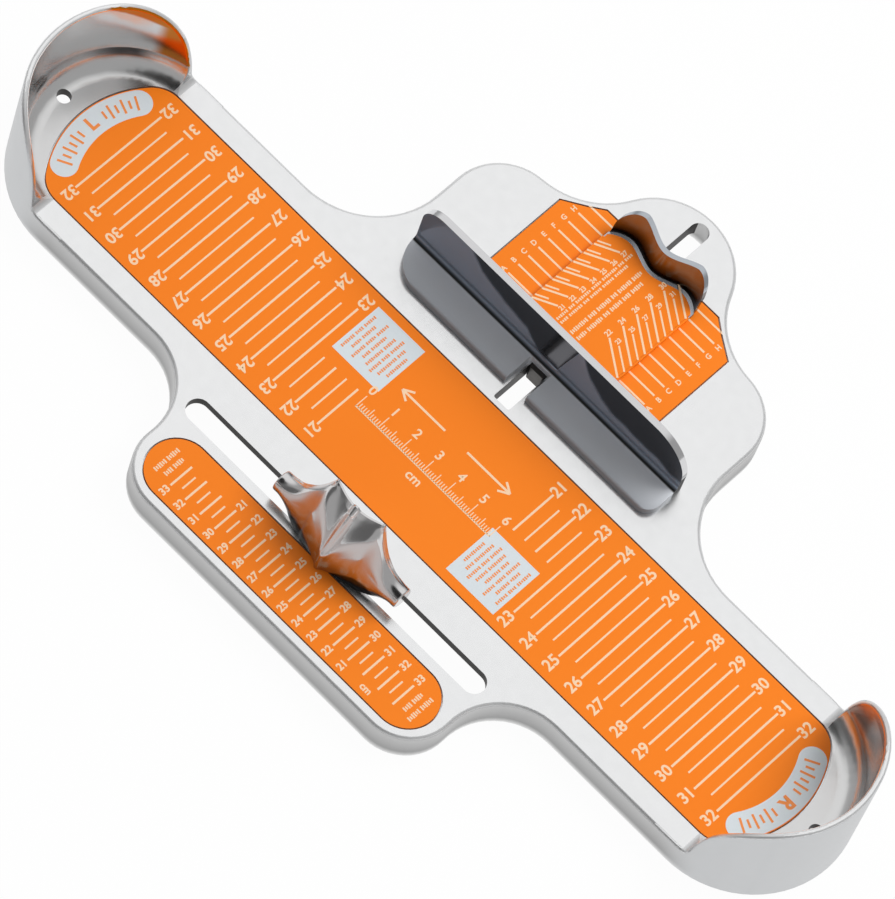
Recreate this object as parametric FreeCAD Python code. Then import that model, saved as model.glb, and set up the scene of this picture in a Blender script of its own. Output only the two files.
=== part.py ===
import FreeCAD, Part
import math
import os

# A foot measuring device: a cast body with a heel cup at each end, printed scale plates let into
# its top, a width bar that slides in one slot and an arch-length pointer that slides in another.
# All sizes are in millimetres.  X runs from one heel cup to the other, Y towards the width side,
# Z up from the surface that the rim stands on.  The model is laid out about the line between the
# heels (y = 0) and moved at the end, so that the origin is under the middle of the whole device.

# ---------------------------------------------------------------- cast body: outline and heights
heel_to_heel = 352.8            # between the inner faces of the two cup walls
cup_wall = 2.2
arm_half_width = 37.2
base_height = 12.5
top_thickness = 3.5
rim_wall = 3.2
top_edge_radius = 1.4

tip_lobe_rise = 26.5            # outer lobe of the width side, beyond the middle of its shoulders
tip_lobe_radius = 25.0
tip_neck_radius = 29.0          # hollow curve between lobe and shoulder
shoulder_y = 78.0
shoulder_radius = 20.0
width_side_half = 65.7
width_side_root_radius = 30.0   # hollow curve between the width side and the arm

arch_edge_y = -80.0
arch_corner_x = 50.0
arch_corner_radius = 17.2
arch_root_radius = 23.0         # hollow curve between the arch side and the arm

# ---------------------------------------------------------------- heel cups
cup_height = 35.0               # rim of the cup above the top face
cup_floor_radius = 8.0
rim_foot_radius = 3.0
rim_foot_dip = 0.05             # lowest point of that arc below the top face
rim_lean_radius = 75.0
rim_top_radius = 26.0
rim_top_inset = 3.2             # from the cup's outer end to the middle of that arc
rim_turn = 72.0                 # degrees of the small arc that meets the level part of the rim
rim_edge_radius = 0.9
heel_hole_radius = 2.5
heel_hole_inset = 7.1           # from the inner face of the cup wall

# ---------------------------------------------------------------- plates let into the top face
plate_thickness = 0.8
adhesive_thickness = 0.15
adhesive_inset = 0.6
plate_gap = 0.35                # all round, between a plate and its recess
plate_sink = 0.05               # top of a plate below the top face

main_plate_heel_gap = 14.8      # from the inner face of the cup wall
main_plate_side_margin = 9.3    # inside the edge of the arm
main_plate_end_radius = 38.7
main_plate_corner_radius = 11.0

arch_plate_half_length = 62.3
arch_plate_radius = 11.2
arch_plate_margin = 4.0         # inside the edge of the arch side

width_plate_side_margin = 27.6  # inside the edge of the width side
width_plate_start = 25.0        # beyond the inner end of the width slot
width_plate_side_rise = 18.5    # end of the straight side, beyond the middle of the shoulders
width_plate_knee_inset = 7.6
width_plate_knee_rise = 5.0
width_plate_end_half = 25.2
width_plate_end_rise = 1.0      # beyond the middle of the outer lobe
width_plate_slot_margin = 1.0   # the plate's cut-out beside the guide slot

# ---------------------------------------------------------------- guide slots, rails and ribs
width_slot_width = 6.8
width_slot_land = 1.75          # between the long plate's recess and the slot
width_slot_tip_wall = 3.4       # between the slot and the outer end of the width side
width_slot_corner = 0.8
rail_wall = 4.2

arch_slot_half_length = 66.0
arch_slot_width = 8.6
arch_slot_land = 4.0            # between the arch plate and the slot

rib_thickness = 2.4
rib_lift = 3.0                  # underside of a rib above the rim
rib_slot_gap = 7.0              # middle of a long rib beside the slot that it runs along
inner_cross_rib_x = 72.0
outer_cross_rib_x = 124.0

# ---------------------------------------------------------------- running clearances
slide_lift = 0.1                # moving pieces above the top face
block_side_clearance = 0.2
block_end_clearance = 0.3
screw_clearance = 0.05
screw_end_gap = 0.5             # below the end of a blind hole
stand_clearance = 1.1           # lowest screw head above the surface that the rim stands on
overrun = 1.0                   # how far a cut passes the face that it opens

# ---------------------------------------------------------------- width bar
bar_left = -58.8
bar_right = 59.2
bar_face_offset = 19.8          # the face that meets the foot, beyond the slot's inner end
flange_width = 13.6             # from that face towards the foot
bar_wall = 2.4
bar_height = 25.0
flange_thickness = 3.0
flange_left_radius = 13.0
flange_right_radius = 5.0
flange_edge_radius = 1.0
bar_root_radius = 2.2
bar_left_top_radius = 8.0
bar_right_top_radius = 15.0
notch_half_width = 4.6
notch_depth = 11.8

# ---------------------------------------------------------------- width slide
slide_half_width = 19.5
carriage_thickness = 1.4
slide_plate_thickness = 0.5
bar_foot_length = 9.6           # foot of the bar behind its wall
pull_offset = 21.3              # crest of the pull's lobes, inside the slot's outer end
pull_foot_length = 14.0
joint_gap = 0.15                # between pieces that butt on the slide
bare_strip = 1.3                # of the slide left bare between its printed plate and the pull

# ---------------------------------------------------------------- finger pull
pull_half_width = 19.0
pull_lobe_x = 12.0
pull_dip = 3.2                  # the middle dip behind the crest of the lobes
pull_flank = 3.4                # the outer ends behind the crest of the lobes
pull_height = 13.0
pull_lean = 3.6
pull_wall = 1.9
pull_corner_radius = 7.0
pull_top_dip = 1.6

# ---------------------------------------------------------------- guide blocks and keepers
width_travel_in = 16.0
width_travel_out = 24.0
spring_space = 1.0
keeper_thickness = 1.1
width_keeper_width = 14.0
width_keeper_end = 10.0         # beyond the middle of its screws
width_boss_end = 6.5

arch_travel = 49.0              # to either side of the slot's middle
pointer_rest_x = 1.2            # where the pointer stands at rest
arch_keeper_width = 14.0
arch_keeper_end = 7.0
arch_boss_end = 3.5
arch_screw_offset = 7.0
keeper_corner_radius = 3.0

spring_thickness = 0.3
spring_play = 0.3               # top of the bow below what it presses on
spring_end_inset = 1.0          # ends of the strip inside the ends of the keeper
spring_side_inset = 0.3

# ---------------------------------------------------------------- screws and washers
small_screw_radius = 1.25
small_head_radius = 2.5
small_head_depth = 1.2
small_screw_length = 6.0
carriage_inner_screw_inset = 6.0
carriage_outer_screw_inset = 9.0
pull_screw_inset = 6.0
keeper_screw_radius = 1.5
keeper_head_radius = 2.75
keeper_head_height = 1.3
washer_radius = 2.7
washer_thickness = 0.5
width_keeper_screw_length = 5.5
arch_screw_length = 12.5
socket_radius = 0.9             # recess in a screw head
socket_depth = 0.7
washer_split = 0.6

# ---------------------------------------------------------------- arch pointer
pointer_half_length = 27.3
pointer_reach = 10.6            # tip beyond the middle of the slot
pointer_face = 4.6              # prongs on the foot side, beyond the middle of the slot
pointer_socket = 1.5            # hollow between the prongs
pointer_prong_half = 10.5
pointer_height = 28.0
pointer_crest_dip = 1.5         # middle of the crest below the prongs
pointer_tip_height = 1.4
pointer_edge_height = 3.4       # scale-side edge at the barrels
valley_x = 5.2
valley_scoop = 2.3
saddle_x = 14.5
saddle_height = 16.5
barrel_radius = 3.9
barrel_start_x = 17.5
barrel_axis_height = 7.6
barrel_inset = 0.8              # body's end inside the barrel
pocket_half_length = 3.4
pocket_height = 8.0
pocket_front = 3.0
pocket_back = 1.6
pocket_corner = 1.0

# ---------------------------------------------------------------- worked-out places
cup_end_x = heel_to_heel / 2.0 + cup_wall
cup_centre_x = cup_end_x - arm_half_width
heel_hole_x = heel_to_heel / 2.0 - heel_hole_inset
tip_lobe_y = shoulder_y + tip_lobe_rise
tip_y = tip_lobe_y + tip_lobe_radius
centre_y = (tip_y + arch_edge_y) / 2.0

top_z = base_height
deck_z = top_z - top_thickness
recess_depth = plate_thickness + adhesive_thickness + plate_sink
slide_z = top_z + slide_lift
slide_top_z = slide_z + carriage_thickness
rail_z = (stand_clearance + keeper_head_height + washer_thickness + keeper_thickness
          + spring_space)
arch_keeper_z = deck_z - spring_space

main_plate_half_length = heel_to_heel / 2.0 - main_plate_heel_gap
main_plate_half_width = arm_half_width - main_plate_side_margin
arch_plate_y = arch_edge_y + arch_plate_margin + arch_plate_radius
arch_slot_y = arch_plate_y + arch_plate_radius + arch_slot_land + arch_slot_width / 2.0
width_slot_inner_y = main_plate_half_width + plate_gap + width_slot_land
width_slot_outer_y = tip_y - width_slot_tip_wall
long_rib_y = (arch_slot_y + arch_slot_width / 2.0 + rib_slot_gap,
              width_slot_inner_y - rib_slot_gap)

bar_face_y = width_slot_inner_y + bar_face_offset
bar_front_y = bar_face_y - flange_width
bar_back_y = bar_face_y + bar_wall
pull_y = width_slot_outer_y - pull_offset
carriage_start_y = bar_back_y + bar_foot_length + joint_gap
pull_start_y = pull_y - pull_dip - pull_wall
pull_foot_y = pull_y - pull_foot_length
block_start_y = width_slot_inner_y + width_travel_in + block_end_clearance
block_end_y = width_slot_outer_y - width_travel_out - block_end_clearance
arch_block_half = arch_slot_half_length - arch_travel - block_end_clearance

slide_screw_y = (bar_back_y + bar_foot_length / 2.0, carriage_start_y + carriage_inner_screw_inset,
                 pull_foot_y - carriage_outer_screw_inset, pull_foot_y + pull_screw_inset)
keeper_screw_y = ((slide_screw_y[0] + slide_screw_y[1]) / 2.0,
                  (slide_screw_y[2] + slide_screw_y[3]) / 2.0)
width_keeper_mid_y = (keeper_screw_y[0] + keeper_screw_y[1]) / 2.0
width_keeper_screw_offset = keeper_screw_y[1] - width_keeper_mid_y
width_keeper_half_length = width_keeper_screw_offset + width_keeper_end
width_boss_half_length = width_keeper_screw_offset + width_boss_end
arch_keeper_half_length = arch_screw_offset + arch_keeper_end
arch_boss_half_length = arch_screw_offset + arch_boss_end


def vec(x, y, z=0.0):
    return FreeCAD.Vector(x, y, z)


def on_circle(centre, radius, degrees):
    turn = math.radians(degrees)
    return vec(centre[0] + radius * math.cos(turn), centre[1] + radius * math.sin(turn))


def heading(start, end):
    return math.degrees(math.atan2(end[1] - start[1], end[0] - start[0]))


def line(start, end):
    return Part.LineSegment(start, end).toShape()


def arc(centre, radius, start, end):
    """Arc between two headings in degrees, given in either order."""
    circle = Part.Circle(vec(centre[0], centre[1]), vec(0, 0, 1), radius)
    low, high = sorted((math.radians(start), math.radians(end)))
    return Part.ArcOfCircle(circle, low, high).toShape()


def outline_face(edges):
    return Part.Face(Part.Wire(Part.__sortEdges__(edges)))


def polygon_face(points):
    corners = [vec(*p) for p in points]
    return Part.Face(Part.makePolygon(corners + corners[:1]))


def slab(face, low, high):
    """A flat face drawn at z = 0, made solid between two heights."""
    return face.extrude(vec(0, 0, high - low)).translated(vec(0, 0, low))


def box(x0, x1, y0, y1, z0, z1):
    return Part.makeBox(x1 - x0, y1 - y0, z1 - z0, vec(x0, y0, z0))


def rod(radius, x, y, low, high):
    return Part.makeCylinder(radius, high - low, vec(x, y, low))


def round_box(x0, x1, y0, y1, z0, z1, radius):
    """A box whose upright edges are rounded."""
    solid = box(x0, x1, y0, y1, z0, z1)
    upright = [e for e in solid.Edges if abs(e.tangentAt(e.FirstParameter).z) > 0.9]
    return solid.makeFillet(radius, upright)


def capsule_face(half_length, radius, y):
    """A shape with two round ends, along X."""
    reach = half_length - radius
    return outline_face([
        line(vec(-reach, y + radius), vec(reach, y + radius)),
        arc((reach, y), radius, 90, -90),
        line(vec(reach, y - radius), vec(-reach, y - radius)),
        arc((-reach, y), radius, -90, -270),
    ])


def both_sides(edges):
    """Edges of the right-hand half and their mirror images."""
    return edges + [e.mirror(vec(0, 0), vec(1, 0, 0)) for e in edges]


def meeting_centre(first, reach_first, second, reach_second):
    """The point to the right at given distances from two points."""
    gap = math.hypot(second[0] - first[0], second[1] - first[1])
    along = (reach_first ** 2 - reach_second ** 2 + gap ** 2) / (2.0 * gap)
    aside = math.sqrt(reach_first ** 2 - along ** 2)
    ux = (second[0] - first[0]) / gap
    uy = (second[1] - first[1]) / gap
    return (first[0] + along * ux - aside * uy, first[1] + along * uy + aside * ux)


# ================================================================ cast body
def body_face(inset):
    """Outline of the casting, drawn in by a wall all round."""
    lobe = (0.0, tip_lobe_y)
    shoulder = (width_side_half - shoulder_radius, shoulder_y)
    neck = meeting_centre(lobe, tip_lobe_radius + tip_neck_radius,
                          shoulder, shoulder_radius + tip_neck_radius)
    root = (width_side_half + width_side_root_radius, arm_half_width + width_side_root_radius)
    cup = (cup_centre_x, 0.0)
    corner = (arch_corner_x, arch_edge_y + arch_corner_radius)
    arch_root_y = -arm_half_width - arch_root_radius
    arch_reach = arch_root_radius + arch_corner_radius
    arch_root_x = corner[0] + math.sqrt(arch_reach ** 2 - (corner[1] - arch_root_y) ** 2)
    arch_root = (arch_root_x, arch_root_y)
    half = arm_half_width - inset
    right = [
        arc(lobe, tip_lobe_radius - inset, 90, heading(lobe, neck)),
        arc(neck, tip_neck_radius + inset, heading(neck, lobe) % 360, heading(neck, shoulder) % 360),
        arc(shoulder, shoulder_radius - inset, heading(shoulder, neck), 0),
        line(vec(width_side_half - inset, shoulder_y), vec(width_side_half - inset, root[1])),
        arc(root, width_side_root_radius + inset, 180, 270),
        line(vec(root[0], half), vec(cup_centre_x, half)),
        arc(cup, half, 90, -90),
        line(vec(cup_centre_x, -half), vec(arch_root_x, -half)),
        arc(arch_root, arch_root_radius + inset, 90, heading(arch_root, corner) % 360),
        arc(corner, arch_corner_radius - inset, heading(corner, arch_root), -90),
        line(vec(arch_corner_x, arch_edge_y + inset), vec(0, arch_edge_y + inset)),
    ]
    return outline_face(both_sides(right))


def cup_face(half, start_x):
    """Plan of one heel cup: straight sides from start_x and a round end."""
    return outline_face([
        line(vec(start_x, -half), vec(cup_centre_x, -half)),
        arc((cup_centre_x, 0.0), half, -90, 90),
        line(vec(cup_centre_x, half), vec(start_x, half)),
        line(vec(start_x, half), vec(start_x, -half)),
    ])


def rim_centres():
    """Middles of the three arcs of the rim line, seen from the side: top, lean and foot."""
    top = (cup_end_x - rim_top_inset, top_z + cup_height - rim_top_radius)
    lean = on_circle(top, rim_top_radius - rim_lean_radius, 90 + rim_turn)
    foot_z = top_z - rim_foot_dip + rim_foot_radius
    reach = rim_lean_radius + rim_foot_radius
    foot_x = lean.x - math.sqrt(reach ** 2 - (foot_z - lean.y) ** 2)
    return top, lean, (foot_x, foot_z)


def above_rim(start_x):
    """Everything above the rim line of the cup, seen from the side."""
    level = top_z + cup_height
    floor = top_z - rim_foot_dip
    far = cup_end_x + cup_wall
    top_centre, lean_centre, foot = rim_centres()
    foot_x, foot_z = foot
    lean_turn = 90 + rim_turn
    foot_turn = heading(lean_centre, foot)
    profile = [
        line(vec(start_x, floor), vec(foot_x, floor)),
        arc((foot_x, foot_z), rim_foot_radius, -90, foot_turn - 180),
        arc(lean_centre, rim_lean_radius, foot_turn, lean_turn),
        arc(top_centre, rim_top_radius, lean_turn, 90),
        line(vec(top_centre[0], level), vec(far, level)),
        line(vec(far, level), vec(far, level + cup_height)),
        line(vec(far, level + cup_height), vec(start_x, level + cup_height)),
        line(vec(start_x, level + cup_height), vec(start_x, floor)),
    ]
    face = outline_face(profile)
    face.rotate(vec(0, 0), vec(1, 0, 0), 90)
    return face.extrude(vec(0, -4.0 * arm_half_width, 0)).translated(vec(0, 2.0 * arm_half_width, 0))


def heel_cup():
    """Wall of the right-hand cup, with its round floor corner and its swept rim."""
    start_x = min(rim_centres()[2][0], cup_centre_x) - cup_floor_radius
    inner_half = arm_half_width - cup_wall
    block = slab(cup_face(arm_half_width, start_x), deck_z, top_z + cup_height)
    hollow = slab(cup_face(inner_half, start_x - 2.0 * cup_floor_radius), top_z,
                  top_z + 2.0 * cup_height)
    floor_edges = [e for e in hollow.Edges
                   if abs(e.BoundBox.ZMax - top_z) < 0.01 and e.BoundBox.XMax > start_x]
    hollow = hollow.makeFillet(cup_floor_radius, floor_edges)
    cup = block.cut(hollow).cut(above_rim(start_x - cup_floor_radius))
    level = top_z + cup_height
    rim_edges = [e for e in cup.Edges if e.BoundBox.ZMin > level - 0.01
                 and e.BoundBox.YMin < 0.0 < e.BoundBox.YMax]
    return cup.makeFillet(rim_edge_radius, rim_edges)


def width_slot_face(margin, outer_y):
    """Plan of the width slot, or of a cut-out beside it, square inside and round outside."""
    half = width_slot_width / 2.0 + margin
    inner = width_slot_inner_y - margin
    return outline_face([
        line(vec(-half, outer_y - half), vec(-half, inner + width_slot_corner)),
        arc((-half + width_slot_corner, inner + width_slot_corner), width_slot_corner, 180, 270),
        line(vec(-half + width_slot_corner, inner), vec(half - width_slot_corner, inner)),
        arc((half - width_slot_corner, inner + width_slot_corner), width_slot_corner, -90, 0),
        line(vec(half, inner + width_slot_corner), vec(half, outer_y - half)),
        arc((0.0, outer_y - half), half, 0, 180),
    ])


def base_casting():
    outer = body_face(0.0)
    body = slab(outer, 0.0, top_z)
    top_edges = [e for e in body.Edges if e.BoundBox.ZMin > top_z - 0.01]
    body = body.makeFillet(top_edge_radius, top_edges)
    body = body.cut(slab(body_face(rim_wall), -overrun, deck_z))

    inside = slab(body_face(rim_wall / 2.0), 0.0, top_z - top_thickness / 2.0)
    strips = []
    half_rib = rib_thickness / 2.0
    for y in long_rib_y:
        strips.append(box(-inner_cross_rib_x, inner_cross_rib_x, y - half_rib, y + half_rib,
                          rib_lift, top_z))
    for x in (-outer_cross_rib_x, -inner_cross_rib_x, inner_cross_rib_x, outer_cross_rib_x):
        strips.append(box(x - half_rib, x + half_rib, -arm_half_width, arm_half_width,
                          rib_lift, top_z))
    rail_half = width_slot_width / 2.0 + rail_wall
    strips.append(box(-rail_half, rail_half, width_slot_inner_y - rail_wall, tip_y, rail_z, top_z))
    ribs = strips[0].fuse(strips[1:]).common(inside)
    body = body.fuse(ribs)

    cup = heel_cup()
    body = body.fuse([cup, cup.mirror(vec(0, 0), vec(1, 0, 0))]).removeSplitter()

    cuts = [
        slab(main_plate_face(plate_gap), top_z - recess_depth, top_z + recess_depth),
        slab(arch_plate_face(plate_gap), top_z - recess_depth, top_z + recess_depth),
        slab(width_plate_face(plate_gap), top_z - recess_depth, top_z + recess_depth),
        slab(width_slot_face(0.0, width_slot_outer_y), -overrun, top_z + overrun),
        slab(capsule_face(arch_slot_half_length, arch_slot_width / 2.0, arch_slot_y),
             -overrun, top_z + overrun),
        rod(heel_hole_radius, -heel_hole_x, 0.0, -overrun, top_z + cup_height),
        rod(heel_hole_radius, heel_hole_x, 0.0, -overrun, top_z + cup_height),
    ]
    return body.cut(cuts)


# ================================================================ printed plates and their films
def main_plate_face(grow):
    """Long plate: straight sides, curved ends and round corners between them."""
    half = main_plate_half_width + grow
    end_radius = main_plate_end_radius + grow
    corner_radius = main_plate_corner_radius + grow
    end_centre = (main_plate_half_length - main_plate_end_radius, 0.0)
    corner_y = half - corner_radius
    reach = end_radius - corner_radius
    corner = (end_centre[0] + math.sqrt(reach ** 2 - corner_y ** 2), corner_y)
    turn = heading(end_centre, corner)
    below = (corner[0], -corner_y)
    right = [
        line(vec(0, half), vec(corner[0], half)),
        arc(corner, corner_radius, 90, turn),
        arc(end_centre, end_radius, turn, -turn),
        arc(below, corner_radius, -turn, -90),
        line(vec(corner[0], -half), vec(0, -half)),
    ]
    return outline_face(both_sides(right))


def arch_plate_face(grow):
    return capsule_face(arch_plate_half_length + grow, arch_plate_radius + grow, arch_plate_y)


def width_plate_face(grow):
    """Plate on the width side: square inside, its outer corners cut off in two steps."""
    half = width_side_half - width_plate_side_margin
    side_y = shoulder_y + width_plate_side_rise
    right = [
        (half + grow, width_slot_inner_y + width_plate_start - grow),
        (half + grow, side_y + grow / 2.0),
        (half - width_plate_knee_inset + grow / 2.0, side_y + width_plate_knee_rise + grow),
        (width_plate_end_half + grow / 2.0, tip_lobe_y + width_plate_end_rise + grow),
    ]
    left = [(-x, y) for x, y in reversed(right)]
    return polygon_face(right + left)


def fixed_plate(face):
    film_top = top_z - recess_depth + adhesive_thickness
    return slab(face, film_top, film_top + plate_thickness)


def fixed_film(face):
    film_bottom = top_z - recess_depth
    return slab(face, film_bottom, film_bottom + adhesive_thickness)


def slot_clearing(margin):
    """The part of a plate that is left out over the width slot."""
    return slab(width_slot_face(margin, width_slot_outer_y), 0.0, top_z + base_height)


def main_scale_plate():
    return fixed_plate(main_plate_face(0.0))


def main_plate_adhesive():
    return fixed_film(main_plate_face(-adhesive_inset))


def arch_scale_plate():
    return fixed_plate(arch_plate_face(0.0))


def arch_plate_adhesive():
    return fixed_film(arch_plate_face(-adhesive_inset))


def width_scale_plates():
    """The two plates beside the width slot, left one first."""
    both = fixed_plate(width_plate_face(0.0)).cut(slot_clearing(width_plate_slot_margin))
    return sorted(both.Solids, key=lambda plate: plate.CenterOfMass.x)


def width_scale_plate_left():
    return width_scale_plates()[0]


def width_scale_plate_right():
    return width_scale_plates()[1]


def width_plate_adhesive():
    film_margin = width_plate_slot_margin + adhesive_inset
    return fixed_film(width_plate_face(-adhesive_inset)).cut(slot_clearing(film_margin))


# ================================================================ screws
def countersunk_screw(x, y, top):
    """Small screw whose flat head ends level with the face it is sunk into."""
    head = Part.makeCone(small_screw_radius, small_head_radius, small_head_depth,
                         vec(x, y, top - small_head_depth))
    shank = rod(small_screw_radius, x, y, top - small_screw_length, top - small_head_depth)
    socket = rod(socket_radius, x, y, top - socket_depth, top + overrun)
    return head.fuse(shank).cut(socket).removeSplitter()


def countersink(x, y, top, low):
    """The hole that such a screw needs down to a height."""
    room = screw_clearance
    cone = Part.makeCone(small_screw_radius + room, small_head_radius + room, small_head_depth,
                         vec(x, y, top - small_head_depth))
    return cone.fuse(rod(small_screw_radius + room, x, y, low, top))


def pan_screw(x, y, seat, length):
    """Screw driven from below, its head under the seat and its shank going up."""
    head = rod(keeper_head_radius, x, y, seat - keeper_head_height, seat)
    rim = [e for e in head.Edges if e.BoundBox.ZMax < seat - keeper_head_height + 0.01]
    head = head.makeFillet(keeper_head_height / 3.0, rim)
    socket = rod(socket_radius, x, y, seat - keeper_head_height - overrun,
                 seat - keeper_head_height + socket_depth)
    return head.fuse(rod(keeper_screw_radius, x, y, seat, seat + length)).cut(socket)


def screw_hole(x, y, low, high):
    return rod(keeper_screw_radius + screw_clearance, x, y, low, high)


def lock_washer(x, y, seat):
    """Split spring washer below a seat."""
    ring = rod(washer_radius, x, y, seat - washer_thickness, seat)
    low = seat - washer_thickness - overrun
    ring = ring.cut(screw_hole(x, y, low, seat + overrun))
    split = box(x, x + 2.0 * washer_radius, y - washer_split / 2.0, y + washer_split / 2.0,
                low, seat + overrun)
    return ring.cut(split)


# ================================================================ width slide
def slide_countersinks():
    return [countersink(0.0, y, slide_top_z, slide_top_z - small_screw_length)
            for y in slide_screw_y]


def bar_profile():
    """Section of the bar: flange, hollow root corner and wall."""
    top = slide_z + flange_thickness
    front = bar_front_y
    face = bar_face_y
    ridge = slide_z + bar_height
    edge = flange_edge_radius
    root = bar_root_radius
    section = outline_face([
        line(vec(front, slide_z), vec(front, top - edge)),
        arc((front + edge, top - edge), edge, 180, 90),
        line(vec(front + edge, top), vec(face - root, top)),
        arc((face - root, top + root), root, -90, 0),
        line(vec(face, top + root), vec(face, ridge)),
        line(vec(face, ridge), vec(bar_back_y, ridge)),
        line(vec(bar_back_y, ridge), vec(bar_back_y, slide_z)),
        line(vec(bar_back_y, slide_z), vec(front, slide_z)),
    ])
    section.rotate(vec(0, 0), vec(1, 1, 1), 120)
    return section.translated(vec(bar_left, 0, 0)).extrude(vec(bar_right - bar_left, 0, 0))


def rounded_corners_face(low, high, base, far, left_radius, right_radius):
    """A rectangle along X whose two corners on the far side are rounded."""
    way = 1.0 if far > base else -1.0
    left = (low + left_radius, far - way * left_radius)
    right = (high - right_radius, far - way * right_radius)
    return outline_face([
        line(vec(low, base), vec(low, left[1])),
        arc(left, left_radius, way * 180, way * 90),
        line(vec(left[0], far), vec(right[0], far)),
        arc(right, right_radius, way * 90, 0),
        line(vec(high, right[1]), vec(high, base)),
        line(vec(high, base), vec(low, base)),
    ])


def width_bar():
    """L-section bar: flange towards the foot, wall behind it and a low foot behind the wall."""
    plan = slab(rounded_corners_face(bar_left, bar_right, bar_back_y, bar_front_y,
                                     flange_left_radius, flange_right_radius),
                slide_z, slide_z + bar_height)
    front = rounded_corners_face(bar_left, bar_right, slide_z, slide_z + bar_height,
                                 bar_left_top_radius, bar_right_top_radius)
    front.rotate(vec(0, 0), vec(1, 0, 0), 90)
    front = front.translated(vec(0, bar_back_y, 0)).extrude(vec(0, bar_front_y - bar_back_y, 0))
    bar = bar_profile().common(plan).common(front)
    back = box(-slide_half_width, slide_half_width, bar_back_y - bar_wall / 2.0,
               bar_back_y + bar_foot_length, slide_z, slide_top_z)
    bar = bar.fuse(back).removeSplitter()
    notch = round_box(-notch_half_width, notch_half_width, bar_front_y - notch_depth,
                      bar_front_y + notch_depth, slide_z - overrun,
                      slide_z + flange_thickness + bar_root_radius, width_slot_corner)
    return bar.cut([notch] + slide_countersinks())


def slide_carriage():
    plate = box(-slide_half_width, slide_half_width, carriage_start_y, pull_foot_y - joint_gap,
                slide_z, slide_top_z)
    return plate.cut(slide_countersinks())


def pull_curve(shift, height):
    """The double scallop at a height: two lobes with a dip between them."""
    crest = pull_y + shift
    half = pull_half_width
    points = [
        vec(-half, crest - pull_flank, height),
        vec(-(half + pull_lobe_x) / 2.0, crest - pull_flank / 4.0, height),
        vec(-pull_lobe_x, crest, height),
        vec(-pull_lobe_x / 2.0, crest - pull_dip / 2.0, height),
        vec(0.0, crest - pull_dip, height),
        vec(pull_lobe_x / 2.0, crest - pull_dip / 2.0, height),
        vec(pull_lobe_x, crest, height),
        vec((half + pull_lobe_x) / 2.0, crest - pull_flank / 4.0, height),
        vec(half, crest - pull_flank, height),
    ]
    curve = Part.BSplineCurve()
    curve.interpolate(points)
    return curve.toShape()


def pull_section(shift, height):
    inner = pull_curve(shift - pull_wall, height)
    outer = pull_curve(shift, height)
    ends = [(inner.Vertexes[i].Point, outer.Vertexes[i].Point) for i in (0, 1)]
    closing = [line(*pair) for pair in ends]
    return Part.Wire(Part.__sortEdges__([inner, outer] + closing))


def finger_pull():
    """Scalloped grip that leans outwards, on a flat foot under the printed plate."""
    low = pull_section(0.0, slide_z)
    high = pull_section(pull_lean, slide_z + pull_height)
    grip = Part.makeLoft([low, high], True, True)
    shape_half = pull_half_width + pull_lean
    front = box(-pull_half_width, pull_half_width, pull_y - pull_foot_length,
                pull_y + pull_foot_length, slide_z, slide_z + pull_height)
    shoulders = [e for e in front.Edges
                 if abs(e.tangentAt(e.FirstParameter).y) > 0.9 and e.BoundBox.ZMin > slide_z + 1.0]
    grip = grip.common(front.makeFillet(pull_corner_radius, shoulders))
    dip_radius = pull_lobe_x ** 2 / (2.0 * pull_top_dip)
    dip = Part.makeCylinder(dip_radius, 2.0 * shape_half,
                            vec(0, pull_y - shape_half, slide_z + pull_height - pull_top_dip
                                + dip_radius), vec(0, 1, 0))
    grip = grip.cut(dip)
    foot = box(-slide_half_width + joint_gap, slide_half_width - joint_gap, pull_foot_y,
               pull_start_y, slide_z, slide_top_z)
    under = slab(outline_face([pull_curve(-pull_wall / 2.0, 0.0),
                               line(vec(pull_half_width, pull_y - pull_flank - pull_wall / 2.0),
                                    vec(pull_half_width, pull_foot_y)),
                               line(vec(pull_half_width, pull_foot_y),
                                    vec(-pull_half_width, pull_foot_y)),
                               line(vec(-pull_half_width, pull_foot_y),
                                    vec(-pull_half_width, pull_y - pull_flank - pull_wall / 2.0))]),
                 slide_z, slide_top_z)
    return grip.fuse([foot, under]).cut(slide_countersinks()).removeSplitter()


def slide_face(inset, outer_gap):
    """Plan of the printed slide plate, its outer end following the pull."""
    half = pull_half_width - joint_gap - inset
    shift = -pull_wall - outer_gap
    end_y = pull_y - pull_flank + shift
    start_y = bar_back_y + joint_gap + inset
    curve = pull_curve(shift, 0.0)
    wide = [
        line(vec(pull_half_width, end_y), vec(pull_half_width, start_y)),
        line(vec(pull_half_width, start_y), vec(-pull_half_width, start_y)),
        line(vec(-pull_half_width, start_y), vec(-pull_half_width, end_y)),
    ]
    strip = slab(outline_face([curve] + wide), 0.0, overrun)
    return strip.common(box(-half, half, start_y - overrun, pull_y + overrun, 0.0, overrun))


def slide_layer(inset, outer_gap, low, high):
    strip = slide_face(inset, outer_gap)
    bottom = [f for f in strip.Faces if f.BoundBox.ZMax < 0.01]
    return slab(bottom[0], low, high)


def slide_plate_adhesive():
    return slide_layer(adhesive_inset, bare_strip + adhesive_inset, slide_top_z,
                       slide_top_z + adhesive_thickness)


def slide_scale_plate():
    low = slide_top_z + adhesive_thickness
    return slide_layer(0.0, bare_strip, low, low + slide_plate_thickness)


def slide_screws():
    return Part.makeCompound([countersunk_screw(0.0, y, slide_top_z) for y in slide_screw_y])


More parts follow.
